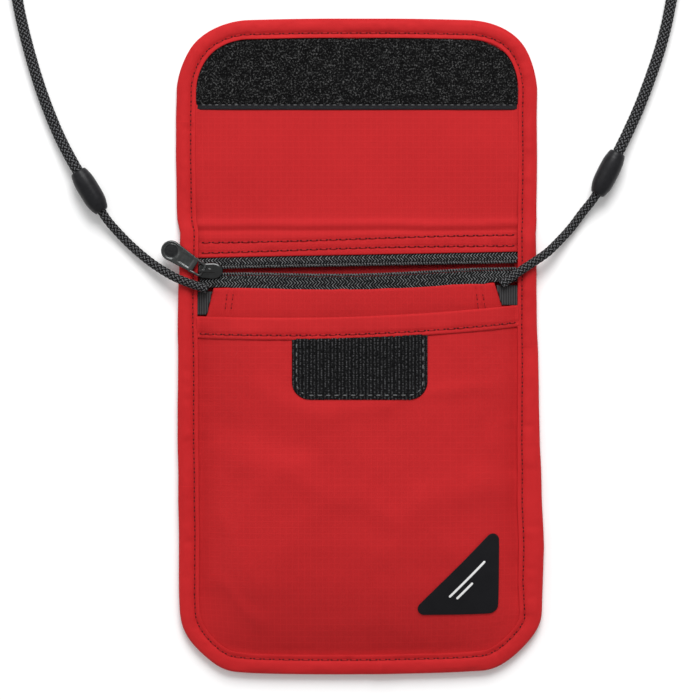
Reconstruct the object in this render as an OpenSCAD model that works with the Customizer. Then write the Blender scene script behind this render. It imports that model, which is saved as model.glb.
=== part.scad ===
// Neck pouch wallet, lying on its back with the flap open and the zip open.
// Origin: middle of the back face. +X to the wearer's left, +Y to the flap, +Z out of the front.
// Every cloth layer is one sheet, and all of them end inside the binding that runs round the edge.

/* [Pouch outline] */
// Length of the opened pouch, foot to flap edge
pouch_len = 243; // [200:1:290]
// Width over the binding
pouch_w = 136; // [115:1:165]
// Corner radius at the flap's free end
top_r = 27; // [15:1:32]
// Corner radius at the foot
foot_r = 22; // [14:1:28]
// Height of the fold line above the middle
fold_y = 44; // [36:1:54]
// Gap between the body's sheets and the flap's sheets at the fold
fold_gap = 1; // [0.4:0.1:2]

/* [Cloth] */
// Thickness of the nylon cloth
cloth_t = 0.5; // [0.3:0.05:0.8]
// Thickness of the signal-blocking lining
lining_t = 0.3; // [0.2:0.05:0.5]
// Thickness of the binding tape
binding_t = 0.6; // [0.4:0.05:1]
// Width of the binding
binding_w = 7.2; // [5:0.1:10]
// Distance from the outer edge to the edges of the bound layers
seam_in = 1.2; // [0.8:0.1:2]
// Slack between neighbouring layers at a step
layer_gap = 0.1; // [0.05:0.05:0.3]
// Width of the step where a flat sheet climbs into the binding
step_w = 0.8; // [0.5:0.1:1.5]

/* [Pockets] */
// Free height inside the zipped pocket
zip_room = 6.6; // [5.5:0.1:9]
// Free height inside the slip pocket
slip_room = 4.6; // [4.2:0.1:8]
// Width of the slope between the binding and the flat front
slope_w = 19; // [14:0.5:26]
// Height of the slip pocket's mouth above the middle
slip_y = 12.5; // [4:0.5:16]
// Tilt of the slip pocket's mouth
slip_tilt = 2; // [0:0.1:3]
// Depth of the slip pocket's hem
hem_w = 8.3; // [6:0.1:12]
// Thickness of the turned hem
hem_t = 0.6; // [0.4:0.1:1]

/* [Flap closure] */
// Depth of the fuzzy loop strip on the flap, from the binding
loop_depth = 26.2; // [18:0.1:34]
// Thickness of the loop strip with its pile
loop_t = 1.2; // [0.8:0.1:2]
// Width of the hook patch on the pocket
hook_w = 50; // [30:1:70]
// Height of the hook patch below the hem
hook_h = 24; // [16:0.5:36]
// Thickness of the hook patch
hook_t = 1; // [0.6:0.1:1.6]
// Radius of the hook patch's lower corners
hook_r = 6.8; // [3:0.1:8]

/* [Badge] */
// Length of the badge's two short sides
badge_leg = 30; // [18:1:40]
// Thickness of the badge
badge_t = 0.5; // [0.3:0.1:1]
// Radius of the badge's corners
badge_r = 2.5; // [1.5:0.1:4]
// Distance of the badge from the pouch's side edge
badge_side = 16; // [12:0.5:24]
// Distance of the badge from the foot
badge_foot = 22; // [16:0.5:32]

/* [Zip] */
// Height of the zip's centre line above the middle of the pouch
zip_y = 29; // [26:0.5:32]
// Tilt of the zip
zip_tilt = 1.1; // [0:0.1:2]
// Height of the closed chain's centre above the back face
chain_z = 2.5; // [2.4:0.1:2.8]
// Width of each coil
coil_w = 1.4; // [1:0.1:2]
// Thickness of each coil
coil_t = 1.4; // [1.2:0.1:1.6]
// Thickness of the zip tape
tape_t = 0.4; // [0.3:0.05:0.5]
// Space between the two coils in the slider
coil_gap = 1.2; // [1:0.1:1.6]
// How far the zip's ends stay inside the binding
zip_end_in = 2.1; // [2:0.1:6]

/* [Slider] */
// Length of the slider's body
slider_len = 9.2; // [7:0.1:12]
// Width of the slider's body
slider_w = 6.4; // [5.8:0.1:8]
// Thickness of the slider's plates
plate_t = 0.6; // [0.4:0.05:0.8]
// Height of the channel that the coils run in
channel_h = 1.8; // [1.7:0.05:2]
// Running clearance of the coils and tapes in the slider
run_gap = 0.2; // [0.15:0.05:0.3]

/* [Puller] */
// Length from the pivot to the middle of the puller's hollow
puller_len = 13.9; // [10:0.1:20]
// Radius of the puller's round end
puller_r = 3.8; // [3.2:0.1:5]
// Radius of the round hollow in each side of the puller
puller_hollow_r = 2.5; // [1.5:0.1:2.6]
// Thickness of the puller
puller_t = 1.4; // [1:0.1:1.4]
// Direction of the puller at rest, from the zip's own line
puller_swing = 146; // [120:1:180]
// Radius of the puller's crossbar
bar_r = 0.55; // [0.4:0.05:0.6]

/* [Cord] */
// Diameter of the braided neck cord
neck_d = 4.2; // [3:0.1:4.2]
// Diameter of the thinner end cords
end_d = 3.3; // [2:0.1:3.4]
// Length of the ferrule that joins two cords
ferrule_len = 16.7; // [12:0.1:22]
// Largest radius of the ferrule
ferrule_r = 4; // [3.2:0.1:4]
// Clearance round a cord in its ferrule
ferrule_gap = 0.05; // [0.05:0.05:0.2]
// Depth to which a cord enters its ferrule
ferrule_grip = 6; // [3:0.5:7.5]

/* [Hidden] */
$fn = 48;

half_w = pouch_w / 2;
half_len = pouch_len / 2;
far = 400;              // longer than anything on the pouch, for cutting planes

// Heights of the layers inside the binding, from the back up
back_seam_z = binding_t;
rear_seam_z = back_seam_z + cloth_t;
front_seam_z = rear_seam_z + lining_t;
zip_seam_z = front_seam_z + lining_t;
slip_seam_z = zip_seam_z + cloth_t;
body_edge_z = slip_seam_z + cloth_t + binding_t;
flap_edge_z = rear_seam_z + cloth_t + binding_t;

// Heights of the same layers over the flat middle
rear_z = cloth_t;
front_z = rear_z + lining_t + zip_room;
zip_z = front_z + lining_t;
slip_z = zip_z + cloth_t + slip_room;
face_z = slip_z + cloth_t;

slope_in = binding_w + 0.8;          // inset where a pocket sheet starts to climb
crown_in = slope_in + slope_w;       // inset where it is flat
min_corner = 3;                      // smallest corner radius of an inset outline

// Zip, in a frame on its own centre line
coil_in = coil_gap / 2;
coil_out = coil_in + coil_w;
tape_z = chain_z - tape_t / 2;
zip_half = half_w - binding_w - zip_end_in;
open_z = zip_z + 0.3;                // height of the lower coil where the mouth gapes
tape_visible = 4.4;                  // tape seen between the lower coil and the cloth
panel_edge = -coil_out - tape_visible;   // top edge of the zipped pocket's front
tape_shoulder = 1.4;                 // flat part of the upper tape beside its coil
tape_bend = 0.2;                     // how much further out its upper side bends
facing_edge = coil_out + 3;          // lower edge of the facing
tape_hidden = 3;                     // upper tape sewn in under the facing
lower_hidden = 4.5;                  // lower tape sewn in under the zipped pocket's front
gape_start = slider_len + 1.5;       // where the lower tape leaves the slider's level
gape_full = gape_start + 12;         // where it has risen all the way

plate_z = chain_z - channel_h / 2 - plate_t;
slider_top = chain_z + channel_h / 2 + plate_t;
slider_x = -zip_half - 1.1;          // left end of the slider
wedge_in = 5;                        // where the wedge that parts the coils starts in the slider
wedge_nose = 1;                      // plate left past the wedge
eye_half = 1.2;                      // half the length of the hole in the slider's arch
eye_h = 1.4;
arch_post = 0.6;                     // thickness of the arch
arch_w = 1.2;
pivot_x = slider_x + eye_half + arch_post;
pivot_z = slider_top + 0.75;         // middle of the crossbar in that hole

// The side openings that the cord tabs fill, as [x at the top, y at the top, x at the foot, y at the foot]
tab_left = [-half_w + 14, 22.5, -half_w + 11.4, 11.6];
tab_right = [half_w - 17.7, 24, half_w - 14.8, 15.2];
tab_t = 1.2;                         // thickness of the webbing
tab_top = [19.5, 22];                // top edge of the left and of the right tab

ferrule_at_left = [-100, 57.6, ferrule_r];
ferrule_at_right = [92.6, 64.2, ferrule_r];
ferrule_turn_left = 121;
ferrule_turn_right = 63.5;

coil_at = [-5, 164];                 // middle of the wound cord
coil_turn_r = 23.1;                  // middle of its turns, 11 cord diameters across

// Routes of the cords: points chosen by hand, lying on the table or over the pouch's edge
end_route_left = [
  [-96.9, 52.5, 4], [-94, 47.5, 3.2], [-90, 42.7, 2.1], [-84.5, 37.1, 1.8], [-78.5, 32, 2.5],
  [-73.3, 28.4, 3.9], [-68, 25.4, 5], [-62.5, 23.2, 5.1], [-56, 21, 5.7]
];
end_route_right = [
  [89.9, 58.7, 4], [87.1, 54.3, 3.2], [83.4, 49.6, 2.1], [79.3, 44.1, 1.8], [74.8, 39.2, 3],
  [70.2, 34.8, 4.9], [64.8, 31, 5.1], [59.4, 27.4, 5.1], [53, 22.6, 5.7]
];
neck_route_left = [
  [-103, 62.8, 4], [-106.2, 68, 3.6], [-110.5, 76, 2.5], [-114.5, 85, 2.1], [-118.6, 96, 2.1],
  [-122, 107, 2.1], [-124.9, 118, 2.1], [-127.1, 128.4, 2.1], [-128.6, 139, 2.1], [-128.3, 150, 2.1],
  [-125, 161, 2.1], [-118, 171, 2.1], [-108, 179.5, 2.1], [-96, 185, 2.1], [-82, 188, 2.1],
  [-66, 189.2, 2.1], [-50, 189.2, 2.1], [-34, 189.2, 2.1], [-19, 189.2, 2.1]
];
neck_route_right = [
  [95.2, 69.4, 4], [97.8, 74.5, 3.6], [101, 81, 2.5], [104.8, 89.5, 2.1], [108.6, 99.5, 2.1],
  [112, 109.5, 2.1], [114.6, 119, 2.1], [116.5, 128.4, 2.1], [118.2, 139, 2.1], [118, 150, 2.1],
  [115.3, 160.5, 2.1], [109, 170, 2.1], [99, 178, 2.1], [86, 184, 2.1], [72, 187.5, 2.1],
  [56, 189, 2.1], [40, 189.2, 2.1], [24, 189.2, 3.6], [9, 189.2, 6]
];

red = "#c62b30";
black = "#1b1b1d";
lining_red = "#9a2428";

// Rounded outline of the whole pouch, drawn in by inset
module outline(inset) {
  half = half_w - inset;
  top = half_len - inset;
  r_top = max(top_r - inset, min_corner);
  r_foot = max(foot_r - inset, min_corner);
  for (side = [-1, 1]) {
    translate([side * (half - r_top), top - r_top]) circle(r_top);
    translate([side * (half - r_foot), r_foot - top]) circle(r_foot);
  }
  translate([-half, r_foot - top]) square([2 * half, 2 * top - r_top - r_foot]);
  translate([r_top - half, 0]) square([2 * (half - r_top), top]);
  translate([r_foot - half, -top]) square([2 * (half - r_foot), top]);
}

// Ring between two insets of the outline
module band(outer, inner) {
  difference() {
    outline(outer);
    outline(inner);
  }
}

// Everything below, or above, a height on the pouch
module below(y) translate([-far / 2, y - far, -1]) cube([far, far, far]);
module above(y) translate([-far / 2, y, -1]) cube([far, far, far]);
module below_tilted(y, tilt) translate([0, y, -1]) rotate(tilt) translate([-far / 2, -far, 0]) cube([far, far, far]);

// Flat sheet whose edge steps up into the binding
module stepped_sheet(field_z, seam_z, thick, step_in) {
  translate([0, 0, field_z]) linear_extrude(thick) outline(step_in);
  translate([0, 0, field_z]) linear_extrude(seam_z + thick - field_z) band(step_in, step_in + step_w);
  translate([0, 0, seam_z]) linear_extrude(thick) band(seam_in, step_in + step_w);
}

// Plan of a pocket: round at the foot, straight-sided up past the zip
module pocket_plan(inset) {
  half = half_w - inset;
  r = max(foot_r - inset, min_corner);
  for (side = [-1, 1]) translate([side * (half - r), inset + r - half_len]) circle(r, $fn = 32);
  translate([-half, 0]) square([2 * half, fold_y]);
}

// Solid mound from the seam up to the flat middle
module mound(edge_z, crown_z) {
  hull() {
    translate([0, 0, edge_z]) linear_extrude(0.01) pocket_plan(slope_in);
    translate([0, 0, crown_z - 0.01]) linear_extrude(0.01) pocket_plan(crown_in);
  }
}

// Sheet that rises from the binding over the pocket's contents
module raised_sheet(edge_z, crown_z, thick) {
  difference() {
    union() {
      translate([0, 0, edge_z]) linear_extrude(thick) intersection() {
        outline(seam_in);
        translate([-half_w, -half_len]) square([pouch_w, half_len + fold_y]);
      }
      mound(edge_z + thick, crown_z + thick);
    }
    mound(edge_z, crown_z);
    translate([0, 0, edge_z - 1]) linear_extrude(1.005) pocket_plan(slope_in);
  }
}

// Tape folded round the edge, open towards the middle
module edge_binding(height) {
  difference() {
    linear_extrude(height) band(0, binding_w);
    translate([0, 0, binding_t]) linear_extrude(height - 2 * binding_t) band(seam_in - run_gap, binding_w + 1);
  }
}

// Opening in the side of the zipped pocket's front, widened by slack
module tab_opening(corner, slack) {
  side = sign(corner[0]);
  wall = side * far / 2;
  translate([0, 0, -1]) linear_extrude(far) polygon([
    [corner[0] - side * slack, corner[1] + 10], [corner[0] - side * slack, corner[1]],
    [corner[2] - side * slack, corner[3] - slack], [wall, corner[3] - slack], [wall, corner[1] + 10]
  ]);
}

// The frame that the zip lies in
module on_zip() translate([0, zip_y, 0]) rotate(zip_tilt) children();

// Strip with a profile given in the zip's YZ plane, as long as the zip
module along_zip(points) {
  on_zip() translate([-zip_half, 0, 0]) rotate([90, 0, 90]) linear_extrude(2 * zip_half) polygon(points);
}

// Ribbon that follows the lower tape up to the gaping mouth and down again
module gaping_ribbon(low_z, high_z, thick, y_from, y_to) {
  x0 = slider_x + gape_start;
  x1 = slider_x + gape_full;
  upper = [[-zip_half, low_z + thick], [x0, low_z + thick], [x1, high_z + thick]];
  lower = [[x1, high_z], [x0, low_z], [-zip_half, low_z]];
  profile = concat(
    upper, [for (i = [2:-1:0]) [-upper[i][0], upper[i][1]]],
    [for (i = [2:-1:0]) [-lower[i][0], lower[i][1]]], lower
  );
  on_zip() translate([0, y_to, 0]) rotate([90, 0, 0]) linear_extrude(y_to - y_from) polygon(profile);
}

// Points of a tube's ring, square to the route, and the tube that joins the rings
function unit(v) = v / norm(v);
function heading(route, i) = unit(route[min(i + 1, len(route) - 1)] - route[max(i - 1, 0)]);
function ring(at, along, r, sides) = let (
  across = unit(cross([0, 0, 1], along)),
  up = cross(along, across)
) [for (k = [0:sides - 1]) at + r * (cos(360 * k / sides) * across + sin(360 * k / sides) * up)];

module tube(route, r, sides) {
  rings = len(route);
  points = [for (i = [0:rings - 1]) each ring(route[i], heading(route, i), r, sides)];
  walls = [
    for (i = [0:rings - 2], k = [0:sides - 1]) let (a = i * sides + k, b = i * sides + (k + 1) % sides)
      each [[a, a + sides, b], [b, a + sides, b + sides]]
  ];
  start = [[for (k = [0:sides - 1]) k]];
  finish = [[for (k = [sides - 1:-1:0]) (rings - 1) * sides + k]];
  polyhedron(concat(points), concat(walls, start, finish));
}

// Turned ferrule with a blind bore for each cord
module ferrule(at, turn) {
  half = ferrule_len / 2;
  neck_bore = neck_d / 2 + ferrule_gap;
  end_bore = end_d / 2 + ferrule_gap;
  lip = 0.55;
  thick_lip = 0.95;
  taper = 3.2;
  swell = 0.3;
  crown = 1;
  translate(at) rotate([0, 90, turn]) difference() {
    rotate_extrude() polygon([
      [0, -half], [end_bore + thick_lip, -half], [ferrule_r - swell, -half + taper], [ferrule_r, -crown],
      [ferrule_r, crown], [ferrule_r - swell, half - taper], [neck_bore + lip, half], [0, half]
    ]);
    translate([0, 0, half - ferrule_grip]) cylinder(r = neck_bore, h = ferrule_grip + 1);
    translate([0, 0, -half - 1]) cylinder(r = end_bore, h = ferrule_grip + 1);
  }
}

module back_panel() color(red) intersection() {
  stepped_sheet(0, back_seam_z, cloth_t, binding_w + layer_gap);
  below(fold_y - fold_gap / 2);
}

// Bound at its sides up to the zip, then a free tongue that is sewn in with the upper tape
module rear_lining() color(lining_red) {
  bound_to = zip_y - 5;
  tongue = 14;
  intersection() {
    stepped_sheet(rear_z, rear_seam_z, lining_t, binding_w + 2 * layer_gap + step_w);
    below(bound_to);
  }
  translate([-zip_half, bound_to - 1, rear_z]) cube([2 * zip_half, tongue, lining_t]);
}

module front_lining() color(lining_red) intersection() {
  raised_sheet(front_seam_z, front_z, lining_t);
  below(tab_left[3] - 1);
}

module zip_pocket_panel() color(red) difference() {
  intersection() {
    raised_sheet(zip_seam_z, zip_z, cloth_t);
    on_zip() below(panel_edge);
  }
  tab_opening(tab_left, 0);
  tab_opening(tab_right, 0);
}

module slip_pocket_panel() color(red) intersection() {
  raised_sheet(slip_seam_z, slip_z, cloth_t);
  below_tilted(slip_y, slip_tilt);
}

module slip_pocket_hem() color(red) difference() {
  intersection() {
    raised_sheet(slip_seam_z + cloth_t, face_z, hem_t);
    below_tilted(slip_y, slip_tilt);
    translate([0, 0, -1]) linear_extrude(far) outline(binding_w + layer_gap);
  }
  below_tilted(slip_y - hem_w, slip_tilt);
}

module body_binding() color("#cf3136") intersection() {
  edge_binding(body_edge_z);
  below(fold_y - fold_gap / 2);
}

module zip_facing() color(red) {
  facing_z = rear_z + lining_t + tape_t;
  translate([0, 0, facing_z]) linear_extrude(cloth_t) intersection() {
    translate([-zip_half, zip_y - 5]) square([2 * zip_half, fold_y - fold_gap / 2 - zip_y + 5]);
    translate([0, zip_y]) rotate(zip_tilt) translate([-far / 2, facing_edge]) square([far, far]);
  }
}

module upper_zip_tape() color(black) {
  sewn_z = rear_z + lining_t;
  along_zip([
    [coil_out, tape_z], [coil_out + tape_shoulder, tape_z], [facing_edge - tape_bend, sewn_z],
    [facing_edge + tape_hidden, sewn_z], [facing_edge + tape_hidden, sewn_z + tape_t], [facing_edge, sewn_z + tape_t],
    [coil_out + tape_shoulder + tape_bend, tape_z + tape_t], [coil_out, tape_z + tape_t]
  ]);
}

module upper_zip_coil() color("#26262a") {
  low = chain_z - coil_t / 2;
  along_zip([[coil_in, low], [coil_out, low], [coil_out, low + coil_t], [coil_in, low + coil_t]]);
}

module lower_zip_tape() color(black) {
  high_z = zip_z - tape_t - 0.05;
  free_gap = 0.2;        // from the panel's edge to the free ribbon
  lap = 0.1;
  gaping_ribbon(tape_z, high_z, tape_t, panel_edge + free_gap, -coil_out);
  sewn_half = -(slider_x + gape_full);
  on_zip() translate([-sewn_half, panel_edge - lower_hidden, high_z])
    cube([2 * sewn_half, lower_hidden + free_gap + lap, tape_t]);
}

module lower_zip_coil() color("#26262a")
  gaping_ribbon(chain_z - coil_t / 2, open_z - coil_t / 2, coil_t, -coil_out, -coil_in);

module zip_slider() color("#3a3a3a") on_zip() {
  nose_x = slider_x + slider_len - slider_w / 2;
  slot_h = tape_t + run_gap + 0.1;
  difference() {
    translate([0, 0, plate_z]) linear_extrude(slider_top - plate_z) union() {
      translate([slider_x, -slider_w / 2]) square([nose_x - slider_x, slider_w]);
      translate([nose_x, 0]) circle(d = slider_w);
    }
    translate([slider_x - 1, -coil_out - 2 * run_gap, plate_z + plate_t])
      cube([slider_len + 2, 2 * coil_out + 4 * run_gap, channel_h]);
    translate([slider_x - 1, -slider_w, chain_z - slot_h / 2]) cube([slider_len + 2, 2 * slider_w, slot_h]);
  }
  translate([slider_x + wedge_in, -coil_in / 2, plate_z + plate_t / 2])
    cube([slider_len - wedge_in - wedge_nose, coil_in, channel_h + plate_t]);
  translate([pivot_x, 0, slider_top]) difference() {
    translate([-eye_half - arch_post, -arch_w / 2, -plate_t / 2])
      cube([2 * (eye_half + arch_post), arch_w, eye_h + arch_post + plate_t / 2]);
    translate([-eye_half, -arch_w, 0]) cube([2 * eye_half, 2 * arch_w, eye_h]);
  }
}

module zip_puller() color("#4a4a4a") on_zip() translate([pivot_x, 0, pivot_z]) rotate(puller_swing) {
  window = 3.2;
  arm_in = 1.9;
  arm_out = 2.7;
  shoulder_x = puller_len - 2.5;
  shoulder_y = puller_r - 0.1;
  web_t = 0.4;           // left between the hollows of the two sides
  difference() {
    translate([0, 0, -puller_t / 2]) linear_extrude(puller_t) difference() {
      union() {
        translate([puller_len, 0]) circle(puller_r);
        polygon([
          [0, -arm_out], [window, -arm_out], [shoulder_x, -shoulder_y], [puller_len, -puller_r],
          [puller_len, puller_r], [shoulder_x, shoulder_y], [window, arm_out], [0, arm_out]
        ]);
      }
      translate([-1, -arm_in]) square([window + 1, 2 * arm_in]);
    }
    for (side = [-1, 1]) translate([puller_len, 0, side * (puller_t + web_t) / 2])
      cylinder(r = puller_hollow_r, h = puller_t, center = true);
  }
  rotate([90, 0, 0]) cylinder(r = bar_r, h = 2 * arm_out, center = true);
}

module hook_patch() color(black) difference() {
  foot = slip_y - hem_w - hook_h;
  off_middle = 0.4;
  spare = 3;             // cut away along the tilted hem
  translate([off_middle, foot, face_z]) linear_extrude(hook_t) {
    for (side = [-1, 1]) translate([side * (hook_w / 2 - hook_r), hook_r]) circle(hook_r);
    translate([hook_r - hook_w / 2, 0]) square([hook_w - 2 * hook_r, hook_h + spare]);
    translate([-hook_w / 2, hook_r]) square([hook_w, hook_h - hook_r + spare]);
  }
  translate([0, slip_y - hem_w - layer_gap, -1]) rotate(slip_tilt) translate([-far / 2, 0, 0]) cube([far, far, far]);
}

module corner_badge() color(black) intersection() {
  raised_sheet(slip_seam_z + cloth_t, face_z, badge_t);
  translate([half_w - badge_side, badge_foot - half_len, -1]) linear_extrude(far) hull() {
    translate([-badge_r, badge_r]) circle(badge_r, $fn = 32);
    translate([-badge_r, badge_leg - badge_r]) circle(badge_r, $fn = 32);
    translate([badge_r - badge_leg, badge_r]) circle(badge_r, $fn = 32);
  }
}

// Webbing that fills one side opening and holds the cord's end
module cord_tab(corner, top) {
  edge = half_w - binding_w - layer_gap;
  intersection() {
    raised_sheet(zip_seam_z, zip_z, tab_t);
    tab_opening(corner, -layer_gap);
    translate([-edge, corner[3], -1]) cube([2 * edge, top - corner[3], far]);
  }
}

module cord_tab_left() color(black) cord_tab(tab_left, tab_top[0]);
module cord_tab_right() color(black) cord_tab(tab_right, tab_top[1]);

module flap_panel() color(red) intersection() {
  stepped_sheet(0, back_seam_z, cloth_t, binding_w + layer_gap);
  above(fold_y + fold_gap / 2);
}

module flap_facing() color(red) intersection() {
  stepped_sheet(cloth_t, rear_seam_z, cloth_t, binding_w + 2 * layer_gap + step_w);
  above(fold_y + fold_gap / 2);
}

module flap_loop_strip() color(black) intersection() {
  translate([0, 0, 2 * cloth_t]) linear_extrude(loop_t) outline(binding_w + 3 * layer_gap + 2 * step_w);
  above(half_len - binding_w - loop_depth);
}

module flap_binding() color("#cf3136") intersection() {
  edge_binding(flap_edge_z);
  above(fold_y + fold_gap / 2);
}

module end_cord_left() color(black) tube(end_route_left, end_d / 2, 8);
module end_cord_right() color(black) tube(end_route_right, end_d / 2, 8);
module ferrule_left() color(black) ferrule(ferrule_at_left, ferrule_turn_left);
module ferrule_right() color(black) ferrule(ferrule_at_right, ferrule_turn_right);
module neck_cord_left() color(black) tube(neck_route_left, neck_d / 2, 10);
module neck_cord_right() color(black) tube(neck_route_right, neck_d / 2, 10);

// Two layers of turns, two cord diameters wide and high
module neck_cord_coil() color(black) translate([coil_at[0], coil_at[1], 0]) rotate_extrude() {
  for (x = [-1, 1], z = [1, 3]) translate([coil_turn_r + x * neck_d / 2, z * neck_d / 2]) circle(neck_d / 2);
  translate([coil_turn_r - neck_d, neck_d / 2]) square([2 * neck_d, neck_d]);
  translate([coil_turn_r - neck_d / 2, 0]) square([neck_d, 2 * neck_d]);
}

back_panel();
rear_lining();
front_lining();
zip_pocket_panel();
slip_pocket_panel();
slip_pocket_hem();
body_binding();
zip_facing();
upper_zip_tape();
upper_zip_coil();
lower_zip_tape();
lower_zip_coil();
zip_slider();
zip_puller();
hook_patch();
corner_badge();
cord_tab_left();
cord_tab_right();
flap_panel();
flap_facing();
flap_loop_strip();
flap_binding();
end_cord_left();
end_cord_right();
ferrule_left();
ferrule_right();
neck_cord_left();
neck_cord_right();
neck_cord_coil();
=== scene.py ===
# %% [markdown]
# # A neck pouch wallet
# The pouch lies on its back with its flap open and its zip open. It is a stack of thin cloth sheets whose edges all
# end inside one folded red tape. Everything here is in the CAD model's frame: +Y runs to the flap and +Z is up.
# Lengths are written in millimetres, as on a pattern, and become metres when a mesh is written.

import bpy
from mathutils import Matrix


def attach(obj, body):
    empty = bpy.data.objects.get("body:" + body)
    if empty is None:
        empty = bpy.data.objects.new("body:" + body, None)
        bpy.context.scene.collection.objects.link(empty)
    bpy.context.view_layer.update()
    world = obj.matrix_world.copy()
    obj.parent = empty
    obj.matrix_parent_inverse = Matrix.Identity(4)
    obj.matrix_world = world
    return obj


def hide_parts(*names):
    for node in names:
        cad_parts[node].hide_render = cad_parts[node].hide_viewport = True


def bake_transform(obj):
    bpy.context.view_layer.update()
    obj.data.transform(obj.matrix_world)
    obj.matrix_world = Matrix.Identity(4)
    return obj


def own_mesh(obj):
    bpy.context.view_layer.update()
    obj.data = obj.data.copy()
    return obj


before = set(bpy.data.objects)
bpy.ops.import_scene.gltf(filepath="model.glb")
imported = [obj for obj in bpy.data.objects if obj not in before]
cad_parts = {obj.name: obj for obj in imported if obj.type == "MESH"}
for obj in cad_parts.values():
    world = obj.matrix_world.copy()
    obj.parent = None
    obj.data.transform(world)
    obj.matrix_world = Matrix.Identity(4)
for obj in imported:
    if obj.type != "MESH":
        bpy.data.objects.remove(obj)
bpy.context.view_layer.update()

import math

import bpy
import numpy as np
from mathutils import Vector

MM = 0.001

# %% [markdown]
# ## Camera
# The pouch is seen from straight above. A long lens one metre up keeps its sides parallel.

# %% Camera
FIELD = 259.7          # width of the view at the height of the cloth
CAMERA_UP = 1000.0
camera_data = bpy.data.cameras.new("overhead_camera")
camera_data.sensor_width = 36.0
camera_data.lens = camera_data.sensor_width * CAMERA_UP / FIELD
camera = bpy.data.objects.new("overhead_camera", camera_data)
camera.location = (-3.2 * MM, -1.5 * MM, (CAMERA_UP + 7.0) * MM)
bpy.context.scene.collection.objects.link(camera)
bpy.context.scene.camera = camera
print("lens", round(camera_data.lens, 1))

# %% [markdown]
# ## Writing a mesh
# Every piece is an array of points and arrays of faces. One function puts them in a mesh in whole arrays, which is far
# quicker than adding points one by one. A closed piece whose signed volume comes out negative is inside out, so its
# faces are turned over.

# %% Points and faces to a mesh
def signed_volume(points, faces):
    """Sum over the faces' triangle fans of first . (second x third) / 6; it is positive when faces point outwards."""
    total = 0.0
    for group in faces:
        for k in range(1, group.shape[1] - 1):
            a, b, c = points[group[:, 0]], points[group[:, k]], points[group[:, k + 1]]
            total += np.einsum("ij,ij->", a, np.cross(b, c)) / 6
    return total


def write_piece(name, points, faces, uvs, smooth=True):
    """Makes an object at the origin. points is (n, 3) in mm, faces a list of (m, k) index arrays, and uvs a list of
    (m, k, 2) arrays in mm that say where each corner lies on the flat cloth."""
    if signed_volume(points, faces) < 0:
        faces, uvs = [f[:, ::-1] for f in faces], [u[:, ::-1] for u in uvs]
    mesh = bpy.data.meshes.new(name)
    corners = np.concatenate([f.ravel() for f in faces]).astype(np.int32)
    counts = np.concatenate([np.full(len(f), f.shape[1]) for f in faces])
    mesh.vertices.add(len(points))
    mesh.vertices.foreach_set("co", (points * MM).astype(np.float32).ravel())
    mesh.loops.add(len(corners))
    mesh.loops.foreach_set("vertex_index", corners)
    mesh.polygons.add(len(counts))
    mesh.polygons.foreach_set("loop_start", (np.cumsum(counts) - counts).astype(np.int32))
    mesh.update(calc_edges=True)
    mesh.polygons.foreach_set("use_smooth", np.full(len(counts), smooth))
    layer = mesh.uv_layers.new(name="cloth")
    places = np.concatenate([u.reshape(-1, 2) for u in uvs]) * MM
    layer.data.foreach_set("uv", places.astype(np.float32).ravel())
    mesh.validate()
    piece = bpy.data.objects.new(name, mesh)
    bpy.context.scene.collection.objects.link(piece)
    return piece


# %% [markdown]
# ## Grids, sheets and tubes
# A sheet of cloth is a grid with an upper and a lower side and a narrow wall round its rim, so that it is closed and
# has the thickness of the real cloth. A cord, a coil or a folded tape is a section carried along a path.

# %% Small helpers
def unit(vectors):
    """The same vectors with a length of 1."""
    return vectors / np.linalg.norm(vectors, axis=-1, keepdims=True)


def full_turn(count):
    """Even angles once round a circle."""
    return np.linspace(0, 2 * np.pi, count, endpoint=False)


def bell(distance, width):
    """exp(-(distance / width)^2): 1 in the middle, and next to nothing past twice the width."""
    return np.exp(-((distance / width) ** 2))


def squared(values, power):
    """sign(v) * |v|^power, which makes a circle's cosine and sine squarer for a power under 1."""
    return np.sign(values) * np.abs(values) ** power


# %% Grid helpers
def grid_quads(nu, nv, wrap_u=False, wrap_v=False):
    """Corner numbers of every cell of an nu by nv grid. The second and third results count on past a wrapped edge."""
    iu, iv = np.meshgrid(np.arange(nu - (not wrap_u)), np.arange(nv - (not wrap_v)), indexing="ij")
    iu, iv = iu.ravel(), iv.ravel()
    cu = np.stack([iu, iu + 1, iu + 1, iu], 1)
    cv = np.stack([iv, iv, iv + 1, iv + 1], 1)
    return (cu % nu) * nv + cv % nv, cu, cv


def grid_normals(top):
    """Unit vector square to a grid of points: the cross product of its two directions."""
    square = np.cross(np.gradient(top, axis=0), np.gradient(top, axis=1))
    return square / np.maximum(np.linalg.norm(square, axis=2, keepdims=True), 1e-9)


def cloth_sheet(name, top, thick, flat=None):
    """A closed sheet. top is an (nu, nv, 3) grid of its upper side, and the lower side is top - thick * normal.
    flat is the (nu, nv, 2) grid of places on the cut cloth, which is the plan of the sheet where none is given."""
    nu, nv = top.shape[:2]
    flat = top[..., :2] if flat is None else flat
    low = top - thick * grid_normals(top)
    points = np.concatenate([top.reshape(-1, 3), low.reshape(-1, 3)])
    places = np.concatenate([flat.reshape(-1, 2)] * 2)
    upper = grid_quads(nu, nv)[0]
    number = np.arange(nu * nv).reshape(nu, nv)
    rim = np.concatenate([number[:, 0], number[-1, 1:], number[-2::-1, -1], number[0, -2:0:-1]])
    after = np.roll(rim, -1)
    wall = np.stack([after, rim, rim + nu * nv, after + nu * nv], 1)
    faces = [upper, upper[:, ::-1] + nu * nv, wall]
    return write_piece(name, points, faces, [places[f] for f in faces])


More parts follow.
